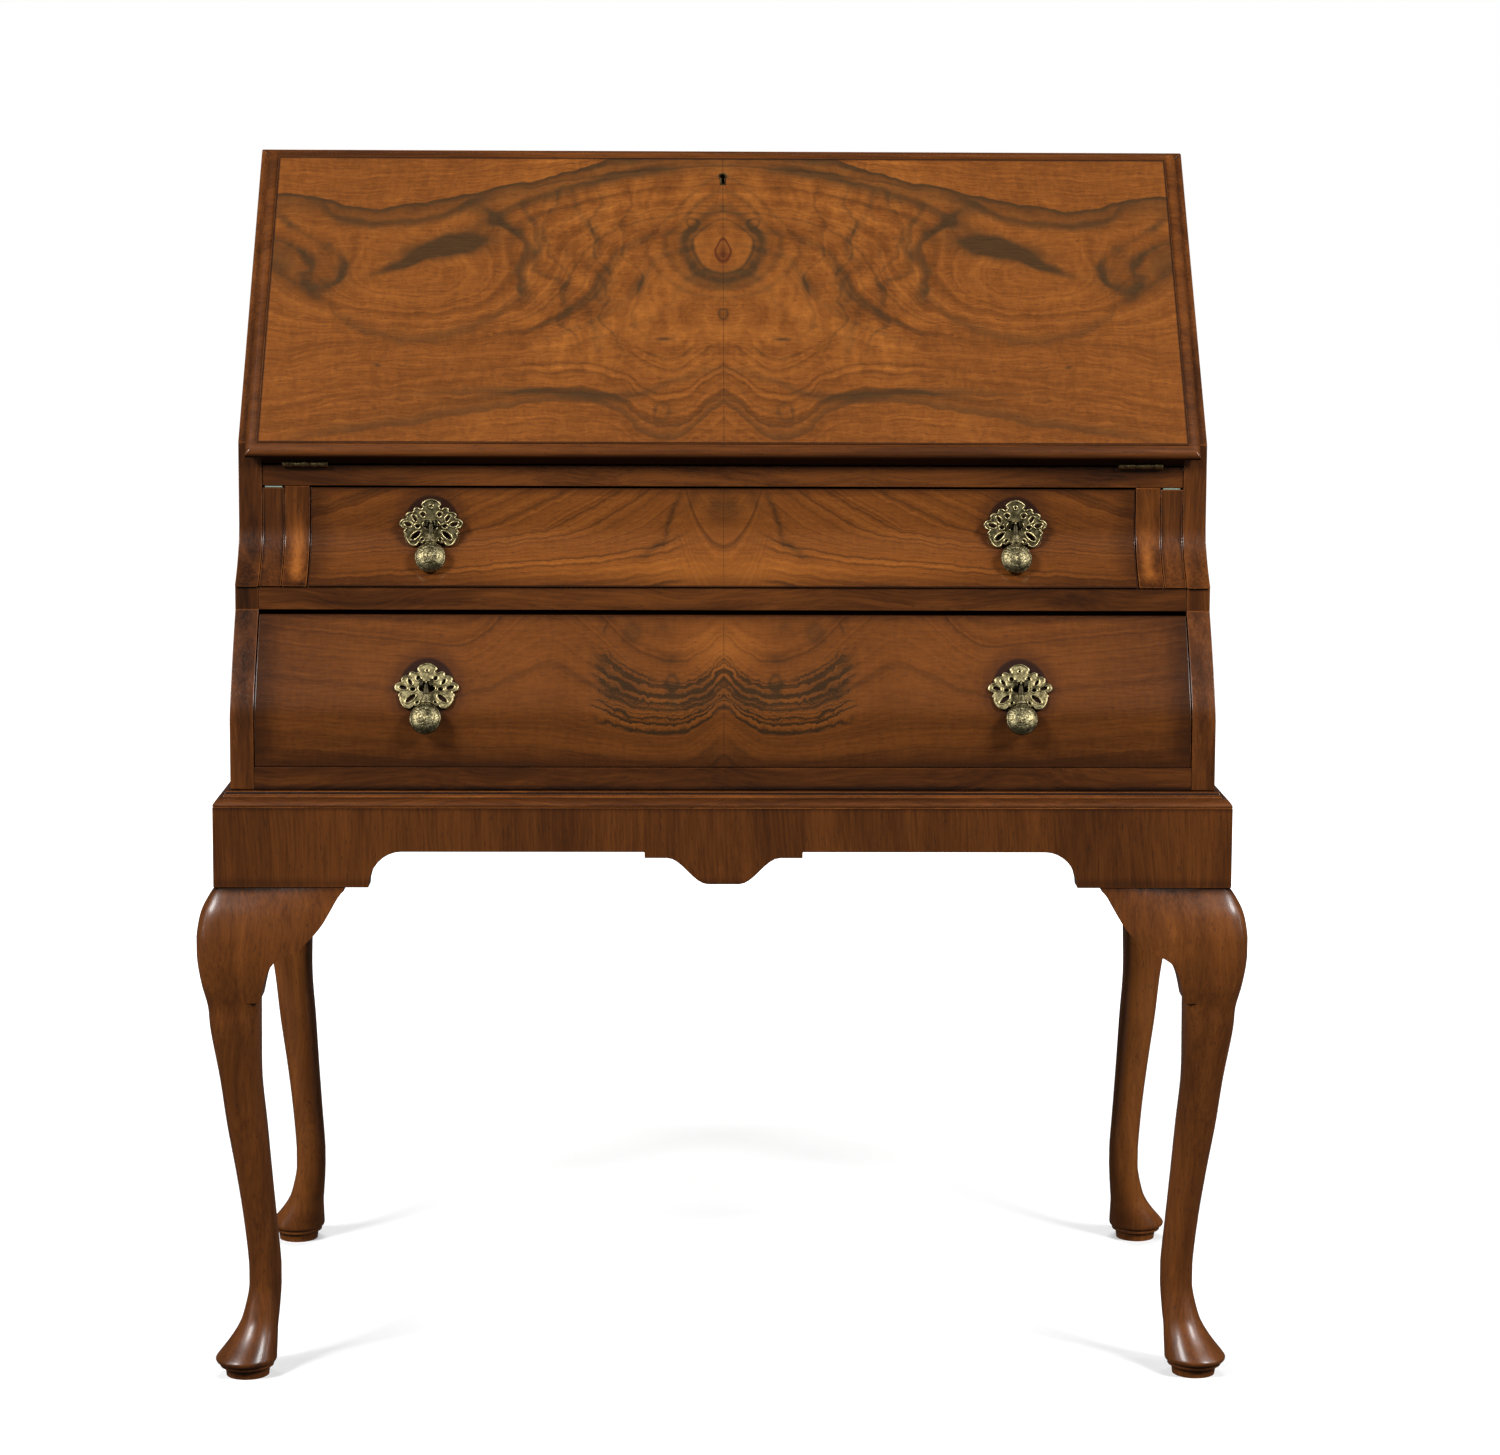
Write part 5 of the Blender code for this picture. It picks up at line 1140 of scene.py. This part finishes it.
# %% Set out the legs
HALF_STAND = 0.4225
HALF_DEPTH = 0.2225
LEG_HEIGHT = 0.4216
LEG_STOCK = 0.050
LEG_POINTS = 48
APRON_THICKNESS = 0.022
SEAT_GAP = 0.0003
POST_SIZE = 0.030
POST_HEIGHT = 0.060
POST_ROOT = 0.020
POST_ARRIS = 0.0008
EAR_START = 0.0366
EAR_LENGTH = 0.0712
EAR_HEIGHT = 0.096
EAR_THICKNESS = 0.022
EAR_ROOT = 0.010
EAR_LEVELS = 16
LEG_STATION_SHARES = (
    (0.0000, 0.430, 0.360, 2.0, 2.0),
    (0.0185, 0.430, 0.385, 2.0, 2.0),
    (0.0200, 0.420, 0.450, 2.0, 2.0),
    (0.0275, 0.415, 0.455, 2.0, 2.0),
    (0.0290, 0.410, 0.495, 2.0, 2.0),
    (0.0356, 0.410, 0.514, 2.0, 2.0),
    (0.0451, 0.437, 0.489, 2.0, 2.0),
    (0.0697, 0.523, 0.405, 2.0, 2.0),
    (0.0944, 0.593, 0.337, 2.0, 2.0),
    (0.1193, 0.646, 0.304, 2.0, 2.0),
    (0.1686, 0.706, 0.274, 2.0, 2.0),
    (0.2180, 0.710, 0.274, 2.1, 2.1),
    (0.3167, 0.641, 0.279, 2.2, 2.2),
    (0.4148, 0.556, 0.302, 2.3, 2.3),
    (0.5128, 0.465, 0.335, 2.5, 2.5),
    (0.6105, 0.382, 0.350, 2.8, 2.9),
    (0.7078, 0.317, 0.415, 3.1, 3.6),
    (0.7600, 0.298, 0.434, 3.3, 4.5),
    (0.8048, 0.254, 0.478, 3.4, 6.0),
    (0.8539, 0.222, 0.510, 3.4, 9.0),
    (0.9013, 0.218, 0.514, 3.5, 12.0),
    (0.9500, 0.254, 0.478, 3.8, 14.0),
    (0.9830, 0.322, 0.410, 4.5, 14.0),
    (1.0000, 0.376, 0.356, 6.0, 14.0),
)
EAR_EDGE_SHARES = (
    (0.00, 1.000), (0.03, 0.960), (0.06, 0.855), (0.10, 0.750), (0.19, 0.640), (0.32, 0.580),
    (0.46, 0.535), (0.62, 0.430), (0.74, 0.325), (0.83, 0.215), (0.93, 0.085), (1.00, 0.025),
)
EAR_FADE_POWER = 1.2
leg_levels = through(LEG_STATION_SHARES, 5)
ear_edge = through(EAR_EDGE_SHARES, 4)
print(len(leg_levels), "levels in a leg,", len(ear_edge), "sections in an ear")


# %% Carve the legs
def leg_ring(level, sx, sy):
    height_share, centre_share, half_share, outer, inner = level
    centre, half = centre_share * LEG_STOCK, half_share * LEG_STOCK
    height = min(height_share * LEG_HEIGHT, LEG_HEIGHT - SEAT_GAP)
    ring = []
    for index in range(LEG_POINTS):
        turn = 2 * math.pi * (index + 0.5) / LEG_POINTS
        across, along = math.cos(turn), math.sin(turn)
        power = outer if across > 0 and along > 0 else inner
        out_x = half * math.copysign(abs(across) ** (2 / power), across)
        out_y = half * math.copysign(abs(along) ** (2 / power), along)
        ring.append((sx * (HALF_STAND - centre + out_x), sy * (HALF_DEPTH - centre + out_y), height))
    return ring


def knee_outset(height, run=0.0):
    """How far the knee stands out from the apron's face at a height, at a run in from the corner."""
    for lower, upper in zip(leg_levels, leg_levels[1:]):
        if height <= upper[0] * LEG_HEIGHT:
            share = (height / LEG_HEIGHT - lower[0]) / max(upper[0] - lower[0], 0.000001)
            level = [start + (end - start) * share for start, end in zip(lower, upper)]
            centre, half, power = level[1] * LEG_STOCK, level[2] * LEG_STOCK, level[4]
            reach = min(max(run - centre, 0.0) / half, 0.99)
            return half * (1 - reach ** power) ** (1 / power) - centre
    return 0


def ear_rings(place):
    """Sections of a bracket beside a knee, from inside the knee to its tip."""
    top = LEG_HEIGHT - SEAT_GAP
    first_run = EAR_START - EAR_ROOT
    rings = []
    for along, down in ear_edge:
        run = EAR_START + SEAT_GAP + EAR_LENGTH * along if along else first_run
        fade = 1 - along ** EAR_FADE_POWER
        heights = [top - EAR_HEIGHT * down * step / EAR_LEVELS for step in range(EAR_LEVELS + 1)]
        depth = 0.0 if along else run
        ring = [place(run, -knee_outset(height, depth) * fade, height) for height in heights]
        rings.append(ring + [place(run, EAR_THICKNESS, heights[-1]), place(run, EAR_THICKNESS, top)])
    return rings


def join_to(piece, *others):
    select_only(piece)
    for other in others:
        other.select_set(True)
    bpy.ops.object.join()
    return piece


def carve_leg(node, sx, sy):
    # The rear legs take the paler copy of the leg wood, which is painted light.
    finish = leg_wood if sy < 0 else rear_leg_wood_painted_light
    leg = rolled(node + "_carved", [leg_ring(level, sx, sy) for level in leg_levels], finish)
    near = APRON_THICKNESS + SEAT_GAP + POST_SIZE / 2
    bpy.ops.object.select_all(action="DESELECT")
    middle = LEG_HEIGHT + (POST_HEIGHT - POST_ROOT) / 2
    place = (sx * (HALF_STAND - near), sy * (HALF_DEPTH - near), middle)
    sides = (POST_SIZE, POST_SIZE, POST_HEIGHT + POST_ROOT)
    bpy.ops.mesh.primitive_cube_add(size=1, location=place, scale=sides)
    post = bpy.context.object
    bpy.ops.object.transform_apply(location=True, rotation=True, scale=True)
    edit_all()
    bpy.ops.mesh.bevel(offset=POST_ARRIS, segments=2)
    bpy.ops.object.mode_set(mode="OBJECT")
    post.data.materials.append(finish)

    def side_place(run, inward, height):
        return (sx * (HALF_STAND - inward), sy * (HALF_DEPTH - run), height)

    ear = rolled(node + "_side_ear", ear_rings(side_place), finish)
    return stand_in(join_to(leg, post, ear), node)


def carve_ear(node, sx):
    def front_place(run, inward, height):
        return (sx * (HALF_STAND - run), inward - HALF_DEPTH, height)

    return stand_in(rolled(node + "_carved", ear_rings(front_place), leg_wood), node)


for side, sx in (("left", -1), ("right", 1)):
    carve_leg("front_leg_" + side, sx, -1)
    carve_leg("rear_leg_" + side, sx, 1)
    ear = carve_ear("ear_" + side, sx)
    print(ear.name, len(ear.data.polygons), "faces")

# %% [markdown]
# ## The drop pulls
# Each pull is three castings: a pierced backplate, a forked post and a drop that swings in the fork. The
# plate is drawn as half an outline with lobes, which is mirrored, filled and given its thickness. Ovals
# drawn the same way become cutters, and a Boolean pierces the plate with them. A round wire along every
# edge makes the soft raised rims of a casting.

# %% Set out the plates
PLATE_HALF_WIDTH = 0.0267
PLATE_HEIGHT = 0.0403
PLATE_THICKNESS = 0.0016
RIM_RADIUS = 0.00092
RIM_PROUD = 0.0002
CAST_ARRIS = 0.0004
CUTTER_DEPTH = 0.006
HOLE_POINTS = 28
PLATE_OUTLINE_SHARES = (
    (0.000, 0.985), (0.100, 0.970), (0.205, 0.932), (0.280, 0.885), (0.268, 0.850), (0.235, 0.812),
    (0.290, 0.772), (0.350, 0.770), (0.420, 0.800), (0.490, 0.797), (0.528, 0.768), (0.530, 0.735),
    (0.575, 0.708), (0.665, 0.708), (0.740, 0.685), (0.778, 0.645), (0.755, 0.600), (0.778, 0.572),
    (0.868, 0.560), (0.940, 0.527), (0.975, 0.478), (0.950, 0.425), (0.878, 0.392), (0.785, 0.376),
    (0.818, 0.335), (0.850, 0.294), (0.808, 0.253), (0.808, 0.204), (0.768, 0.140), (0.715, 0.078),
    (0.630, 0.034), (0.538, 0.022), (0.450, 0.044), (0.395, 0.090), (0.300, 0.075), (0.200, 0.120),
    (0.000, 0.150),
)
LOWER_PULL_LEAN = math.radians(26.7)
PLATE_HOLE_SHARES = (
    (0.000, 0.835, 0.062, 0.062, 0), (0.262, 0.666, 0.100, 0.092, 45), (0.520, 0.585, 0.135, 0.078, 57),
    (0.730, 0.462, 0.150, 0.088, 16), (0.425, 0.425, 0.105, 0.082, 0), (0.490, 0.228, 0.215, 0.098, -40),
    (0.275, 0.145, 0.080, 0.060, -30), (0.000, 0.445, 0.265, 0.160, 0),
)


def seat_of_pull(node):
    """Which way a pull's plate faces: straight out on the upper drawer, and up the swell on the lower."""
    lean = LOWER_PULL_LEAN if "lower" in node else 0.0
    return Vector((0, -math.cos(lean), math.sin(lean)))


def plate_places():
    """The outline and the holes as rings of places in metres, across and up from the plate's foot."""
    half = [(across * PLATE_HALF_WIDTH, up * PLATE_HEIGHT)
            for across, up in through(PLATE_OUTLINE_SHARES, 3)]
    rings = [half + [(-across, up) for across, up in half[-2:0:-1]]]
    for across, up, length, width, lean in PLATE_HOLE_SHARES:
        for side in (1, -1) if across else (1,):
            ring = []
            for index in range(HOLE_POINTS):
                turn = 2 * math.pi * index / HOLE_POINTS
                long, short = math.cos(turn) * length, math.sin(turn) * width
                tilt_cos, tilt_sin = math.cos(math.radians(lean)), math.sin(math.radians(lean))
                out = (across + long * tilt_cos - short * tilt_sin) * PLATE_HALF_WIDTH
                rise = (long * tilt_sin + short * tilt_cos) * PLATE_HALF_WIDTH
                ring.append((side * out, up * PLATE_HEIGHT + rise))
            rings.append(ring)
    return rings


# %% Cast the plates
def drawn_ring(places, fill):
    """A ring of points in the plane of X and Z, filled or open."""
    bpy.ops.object.select_all(action="DESELECT")
    bpy.ops.mesh.primitive_circle_add(vertices=len(places), radius=1, fill_type=fill)
    ring = bpy.context.object
    for vertex, (across, up) in zip(ring.data.vertices, places):
        vertex.co = (across, 0, up)
    return ring


def thicken(piece, depth):
    """Give a flat drawing its thickness, half to each side."""
    select_only(piece)
    solid = piece.modifiers.new("thickness", "SOLIDIFY")
    solid.thickness = depth
    solid.offset = 0
    bpy.ops.object.modifier_apply(modifier="thickness")


def rim_wires(rings):
    """Round wires along rings of places."""
    wires = [drawn_ring(places, "NOTHING") for places in rings]
    join_to(*wires)
    bpy.ops.object.convert(target="CURVE")
    wire_curves = bpy.context.object
    wire_curves.data.bevel_depth = RIM_RADIUS
    wire_curves.data.bevel_resolution = 2
    bpy.ops.object.convert(target="MESH")
    bpy.ops.object.shade_smooth()
    wires = bpy.context.object
    wires.data.materials.clear()
    wires.data.materials.append(rim_brass)
    wires.data.transform(Matrix.Translation((0, RIM_PROUD - PLATE_THICKNESS / 2, 0)))
    return wires


def cast_plate(rings):
    plate = drawn_ring(rings[0], "NGON")
    thicken(plate, PLATE_THICKNESS)
    cutters = [drawn_ring(places, "NGON") for places in rings[1:]]
    cutter = join_to(*cutters)
    thicken(cutter, CUTTER_DEPTH)
    select_only(plate)
    pierce = plate.modifiers.new("pierce", "BOOLEAN")
    pierce.operation = "DIFFERENCE"
    pierce.solver = "EXACT"
    pierce.object = cutter
    bpy.ops.object.modifier_apply(modifier="pierce")
    bpy.data.objects.remove(cutter)
    plate.data.materials.clear()
    plate.data.materials.append(plate_brass)
    return join_to(plate, rim_wires(rings))


def place_plate(node):
    """Cast a plate and lay it on its solid part's front face."""
    plate = cast_plate(plate_places())
    plate.name = node + "_cast"
    facing = seat_of_pull(node)
    rise = Vector((0, facing.z, -facing.y))
    bare = frame["nodes"][node]
    solid = [bare.matrix_world @ vertex.co for vertex in bare.data.vertices]
    front = max(place.dot(facing) for place in solid) - PLATE_THICKNESS / 2
    foot = min(place.dot(rise) for place in solid if place.dot(facing) > front - PLATE_THICKNESS / 2)
    middle = (min(place.x for place in solid) + max(place.x for place in solid)) / 2
    origin = Vector((middle, 0, 0)) + facing * front + rise * foot
    columns = (Vector((1, 0, 0)), -facing, rise, origin)
    rows = [[column[axis] for column in columns] for axis in range(3)]
    plate.data.transform(Matrix(rows + [[0, 0, 0, 1]]))
    return stand_in(plate, node)


for row in ("upper", "lower"):
    for side in ("left", "right"):
        plate = place_plate("backplate_%s_%s" % (row, side))
        post = "post_%s_%s" % (row, side)
        eased(post, post + "_cast", neck_brass_painted_shade, CAST_ARRIS, plate_brass)
        print(plate.name, len(plate.data.polygons), "faces")

# %% [markdown]
# The drop is rolled from a turned profile, deeper across than front to back. Its ball is engraved: a
# sunburst of notches round the edge and a scroll in the middle, cut into the mesh by moving its points
# in along their own directions. The eye is a torus round the post's pin.

# %% Turn and engrave the drops
DROP_LENGTH = 0.0440
BALL_RADIUS = 0.0131
BALL_DEPTH_SHARE = 0.700
DROP_POINTS = 96
EYE_RADIUS = 0.0019
EYE_WIRE = 0.00085
NOTCH_DEPTH = 0.00045
REST_TILT = math.radians(24)
DARK_NECK_SHARE = 0.24
BALL_START_SHARE = 0.44
NOTCH_RING_SHARES = (0.56, 0.84)       # the sunburst's inner and outer ends, in ball radii
NOTCH_TURNS = (1.2, 3.6)               # where round the ball it starts and ends, in radians
NOTCH_WAVES = 12                       # half the number of notches in a full turn
NOTCH_SHARPNESS = 2.4
EDGE_RING_SHARES = (0.92, 0.035)       # a plain ring's radius and the reach of its cut
WAVY_RING_SHARES = (0.03, 0.045)       # a wavy ring's swing and the reach of its cut
SCROLL_MIDDLE_SHARES = (0.20, 0.06)
SCROLL_REACH_SHARE = 0.34
SCROLL_RATE_SHARE = 0.045              # how far a scroll opens in a radian
SCROLL_CUT_SHARE = 0.05
SCROLL_PITCH = 5.6                     # from one turn of a scroll to the next, in reaches of its cut
DROP_SHARES = (
    (0.045, 0.150, 0.80), (0.150, 0.165, 0.80), (0.210, 0.185, 0.80), (0.270, 0.235, 0.80),
    (0.330, 0.310, 0.76), (0.380, 0.400, 0.70), (0.396, 0.420, 0.68), (0.408, 0.390, 0.66),
    (0.425, 0.330, 0.62),
    (0.455, 0.535, 0.54), (0.500, 0.725, 0.52), (0.557, 0.870, 0.50), (0.636, 0.975, 0.50),
    (0.705, 1.000, 0.50), (0.774, 0.975, 0.50), (0.853, 0.870, 0.50), (0.921, 0.680, 0.50),
    (0.967, 0.470, 0.50), (1.000, 0.150, 0.50),
)
drop_profile = through(DROP_SHARES, 6)


def engraving(x, z):
    """Depth of the cut, from 0 to 1, at a place on the ball's face in ball radii."""
    reach = math.hypot(x, z)
    turn = math.atan2(z, x)
    inner, outer = NOTCH_RING_SHARES
    cuts = [0.0]
    if inner < reach < outer and NOTCH_TURNS[0] < turn % (2 * math.pi) < NOTCH_TURNS[1]:
        cuts.append(1.0 - abs(math.sin(turn * NOTCH_WAVES)) * NOTCH_SHARPNESS)
    ring, ring_cut = EDGE_RING_SHARES
    cuts.append(1.0 - abs(reach - ring) / ring_cut)
    swing, wavy_cut = WAVY_RING_SHARES
    cuts.append(1.0 - abs(reach - inner - swing * math.sin(turn * NOTCH_WAVES)) / wavy_cut)
    for side in (-1, 1):
        curl_x = x * side - SCROLL_MIDDLE_SHARES[0]
        curl_z = z - side * SCROLL_MIDDLE_SHARES[1]
        curl = math.hypot(curl_x, curl_z)
        opening = SCROLL_RATE_SHARE * (math.atan2(curl_z, curl_x) + math.pi)
        spiral = (curl - opening) / SCROLL_CUT_SHARE
        if curl < SCROLL_REACH_SHARE:
            cuts.append(1.0 - abs(spiral - round(spiral / SCROLL_PITCH) * SCROLL_PITCH))
    return min(max(cuts), 1.0)


def hang_drop(node):
    rings = []
    for depth_share, width_share, flat_share in drop_profile:
        ring = []
        for index in range(DROP_POINTS):
            turn = 2 * math.pi * index / DROP_POINTS
            x, y = math.cos(turn) * width_share, math.sin(turn) * width_share
            z = (BALL_DEPTH_SHARE - depth_share) * DROP_LENGTH / BALL_RADIUS
            cut = engraving(x, z) if y < 0 and depth_share > BALL_START_SHARE else 0.0
            out_y = y * flat_share * BALL_RADIUS + cut * NOTCH_DEPTH
            ring.append(Vector((x * BALL_RADIUS, out_y, -depth_share * DROP_LENGTH)))
        rings.append(ring)
    drop = rolled(node + "_cast", rings, drop_brass)
    drop.data.materials.append(neck_brass_painted_shade)
    # The neck's faces take the near-black brass of painted shade.
    for face in drop.data.polygons:
        if face.center.z > -DARK_NECK_SHARE * DROP_LENGTH:
            face.material_index = 1
    bpy.ops.object.select_all(action="DESELECT")
    bpy.ops.mesh.primitive_torus_add(major_radius=EYE_RADIUS, minor_radius=EYE_WIRE, major_segments=32,
                                     minor_segments=12, rotation=(0, math.pi / 2, 0))
    eye = bpy.context.object
    bpy.ops.object.transform_apply(location=True, rotation=True, scale=True)
    bpy.ops.object.shade_smooth()
    eye.data.materials.append(drop_brass)
    join_to(drop, eye)
    joint = [row for row in frame["joints"] if row["child"] == body_of_node[node]][0]
    hang = Matrix.Translation(joint["pos_m"]) @ Matrix.Rotation(-REST_TILT, 4, "X")
    drop.data.transform(hang)
    return stand_in(drop, node)


for row in ("upper", "lower"):
    for side in ("left", "right"):
        drop = hang_drop("drop_%s_%s" % (row, side))
        print(drop.name, len(drop.data.polygons), "faces")

# %% [markdown]
# ## Parts that keep their solids
# Inside the case the boards are plain and square, and the fittings are small, so their solids stay and
# only take a finish. The oak's grain runs along each board's length.

# %% Finish the linings and fittings
KEPT = {
    "back_panel": oak_along_z, "dust_board": oak_along_x, "pigeonholes": oak_along_x,
    "upper_stop": oak_along_x, "lower_stop": oak_along_x, "strike_plate": hinge_brass,
    "lock_case": hinge_brass, "keyhole_liner": hinge_brass, "hinge_leaf_left": hinge_brass,
    "hinge_leaf_right": hinge_brass, "fall_leaf_left": hinge_brass, "fall_leaf_right": hinge_brass,
    "lock_bolt": steel, "baize_left": baize, "baize_right": baize, "writing_leather": leather,
}
for row in ("upper", "lower"):
    KEPT[row + "_bottom"] = oak_along_x
    KEPT[row + "_back"] = oak_along_x
    for side in ("left", "right"):
        KEPT["%s_side_%s" % (row, side)] = oak_along_y
for node, finish in KEPT.items():
    materials = frame["nodes"][node].data.materials
    materials.clear()
    materials.append(finish)
print(len(KEPT), "parts keep their solids")

# %% [markdown]
# ## The floor
# A studio's floor is lit so brightly that it runs into the wall without a line. This one glows by
# itself: fully some way off, where it meets the white sky, and less round the bureau, so that soft
# shadows show there.

# %% Paint the floor
floor_finish = Finish("pale_floor", Roughness=0.9, Specular_IOR_Level=0.0, Emission_Strength=1.0)
floor_x, floor_y, _ = floor_finish.axes(floor_finish.place())
reach = (floor_x * floor_x + floor_y * floor_y) ** 0.5
bright = reach.ease(0.5, 2.2).bigger(reach.ease(0.30, 0.16) * 0.4)
glow = floor_finish.blend(bright, (0.30, 0.30, 0.30), (1.0, 1.0, 1.0))
floor_finish.feed(Base_Color=(0.8, 0.8, 0.8, 1), Emission_Color=glow)
floor.data.materials.append(floor_finish.material)
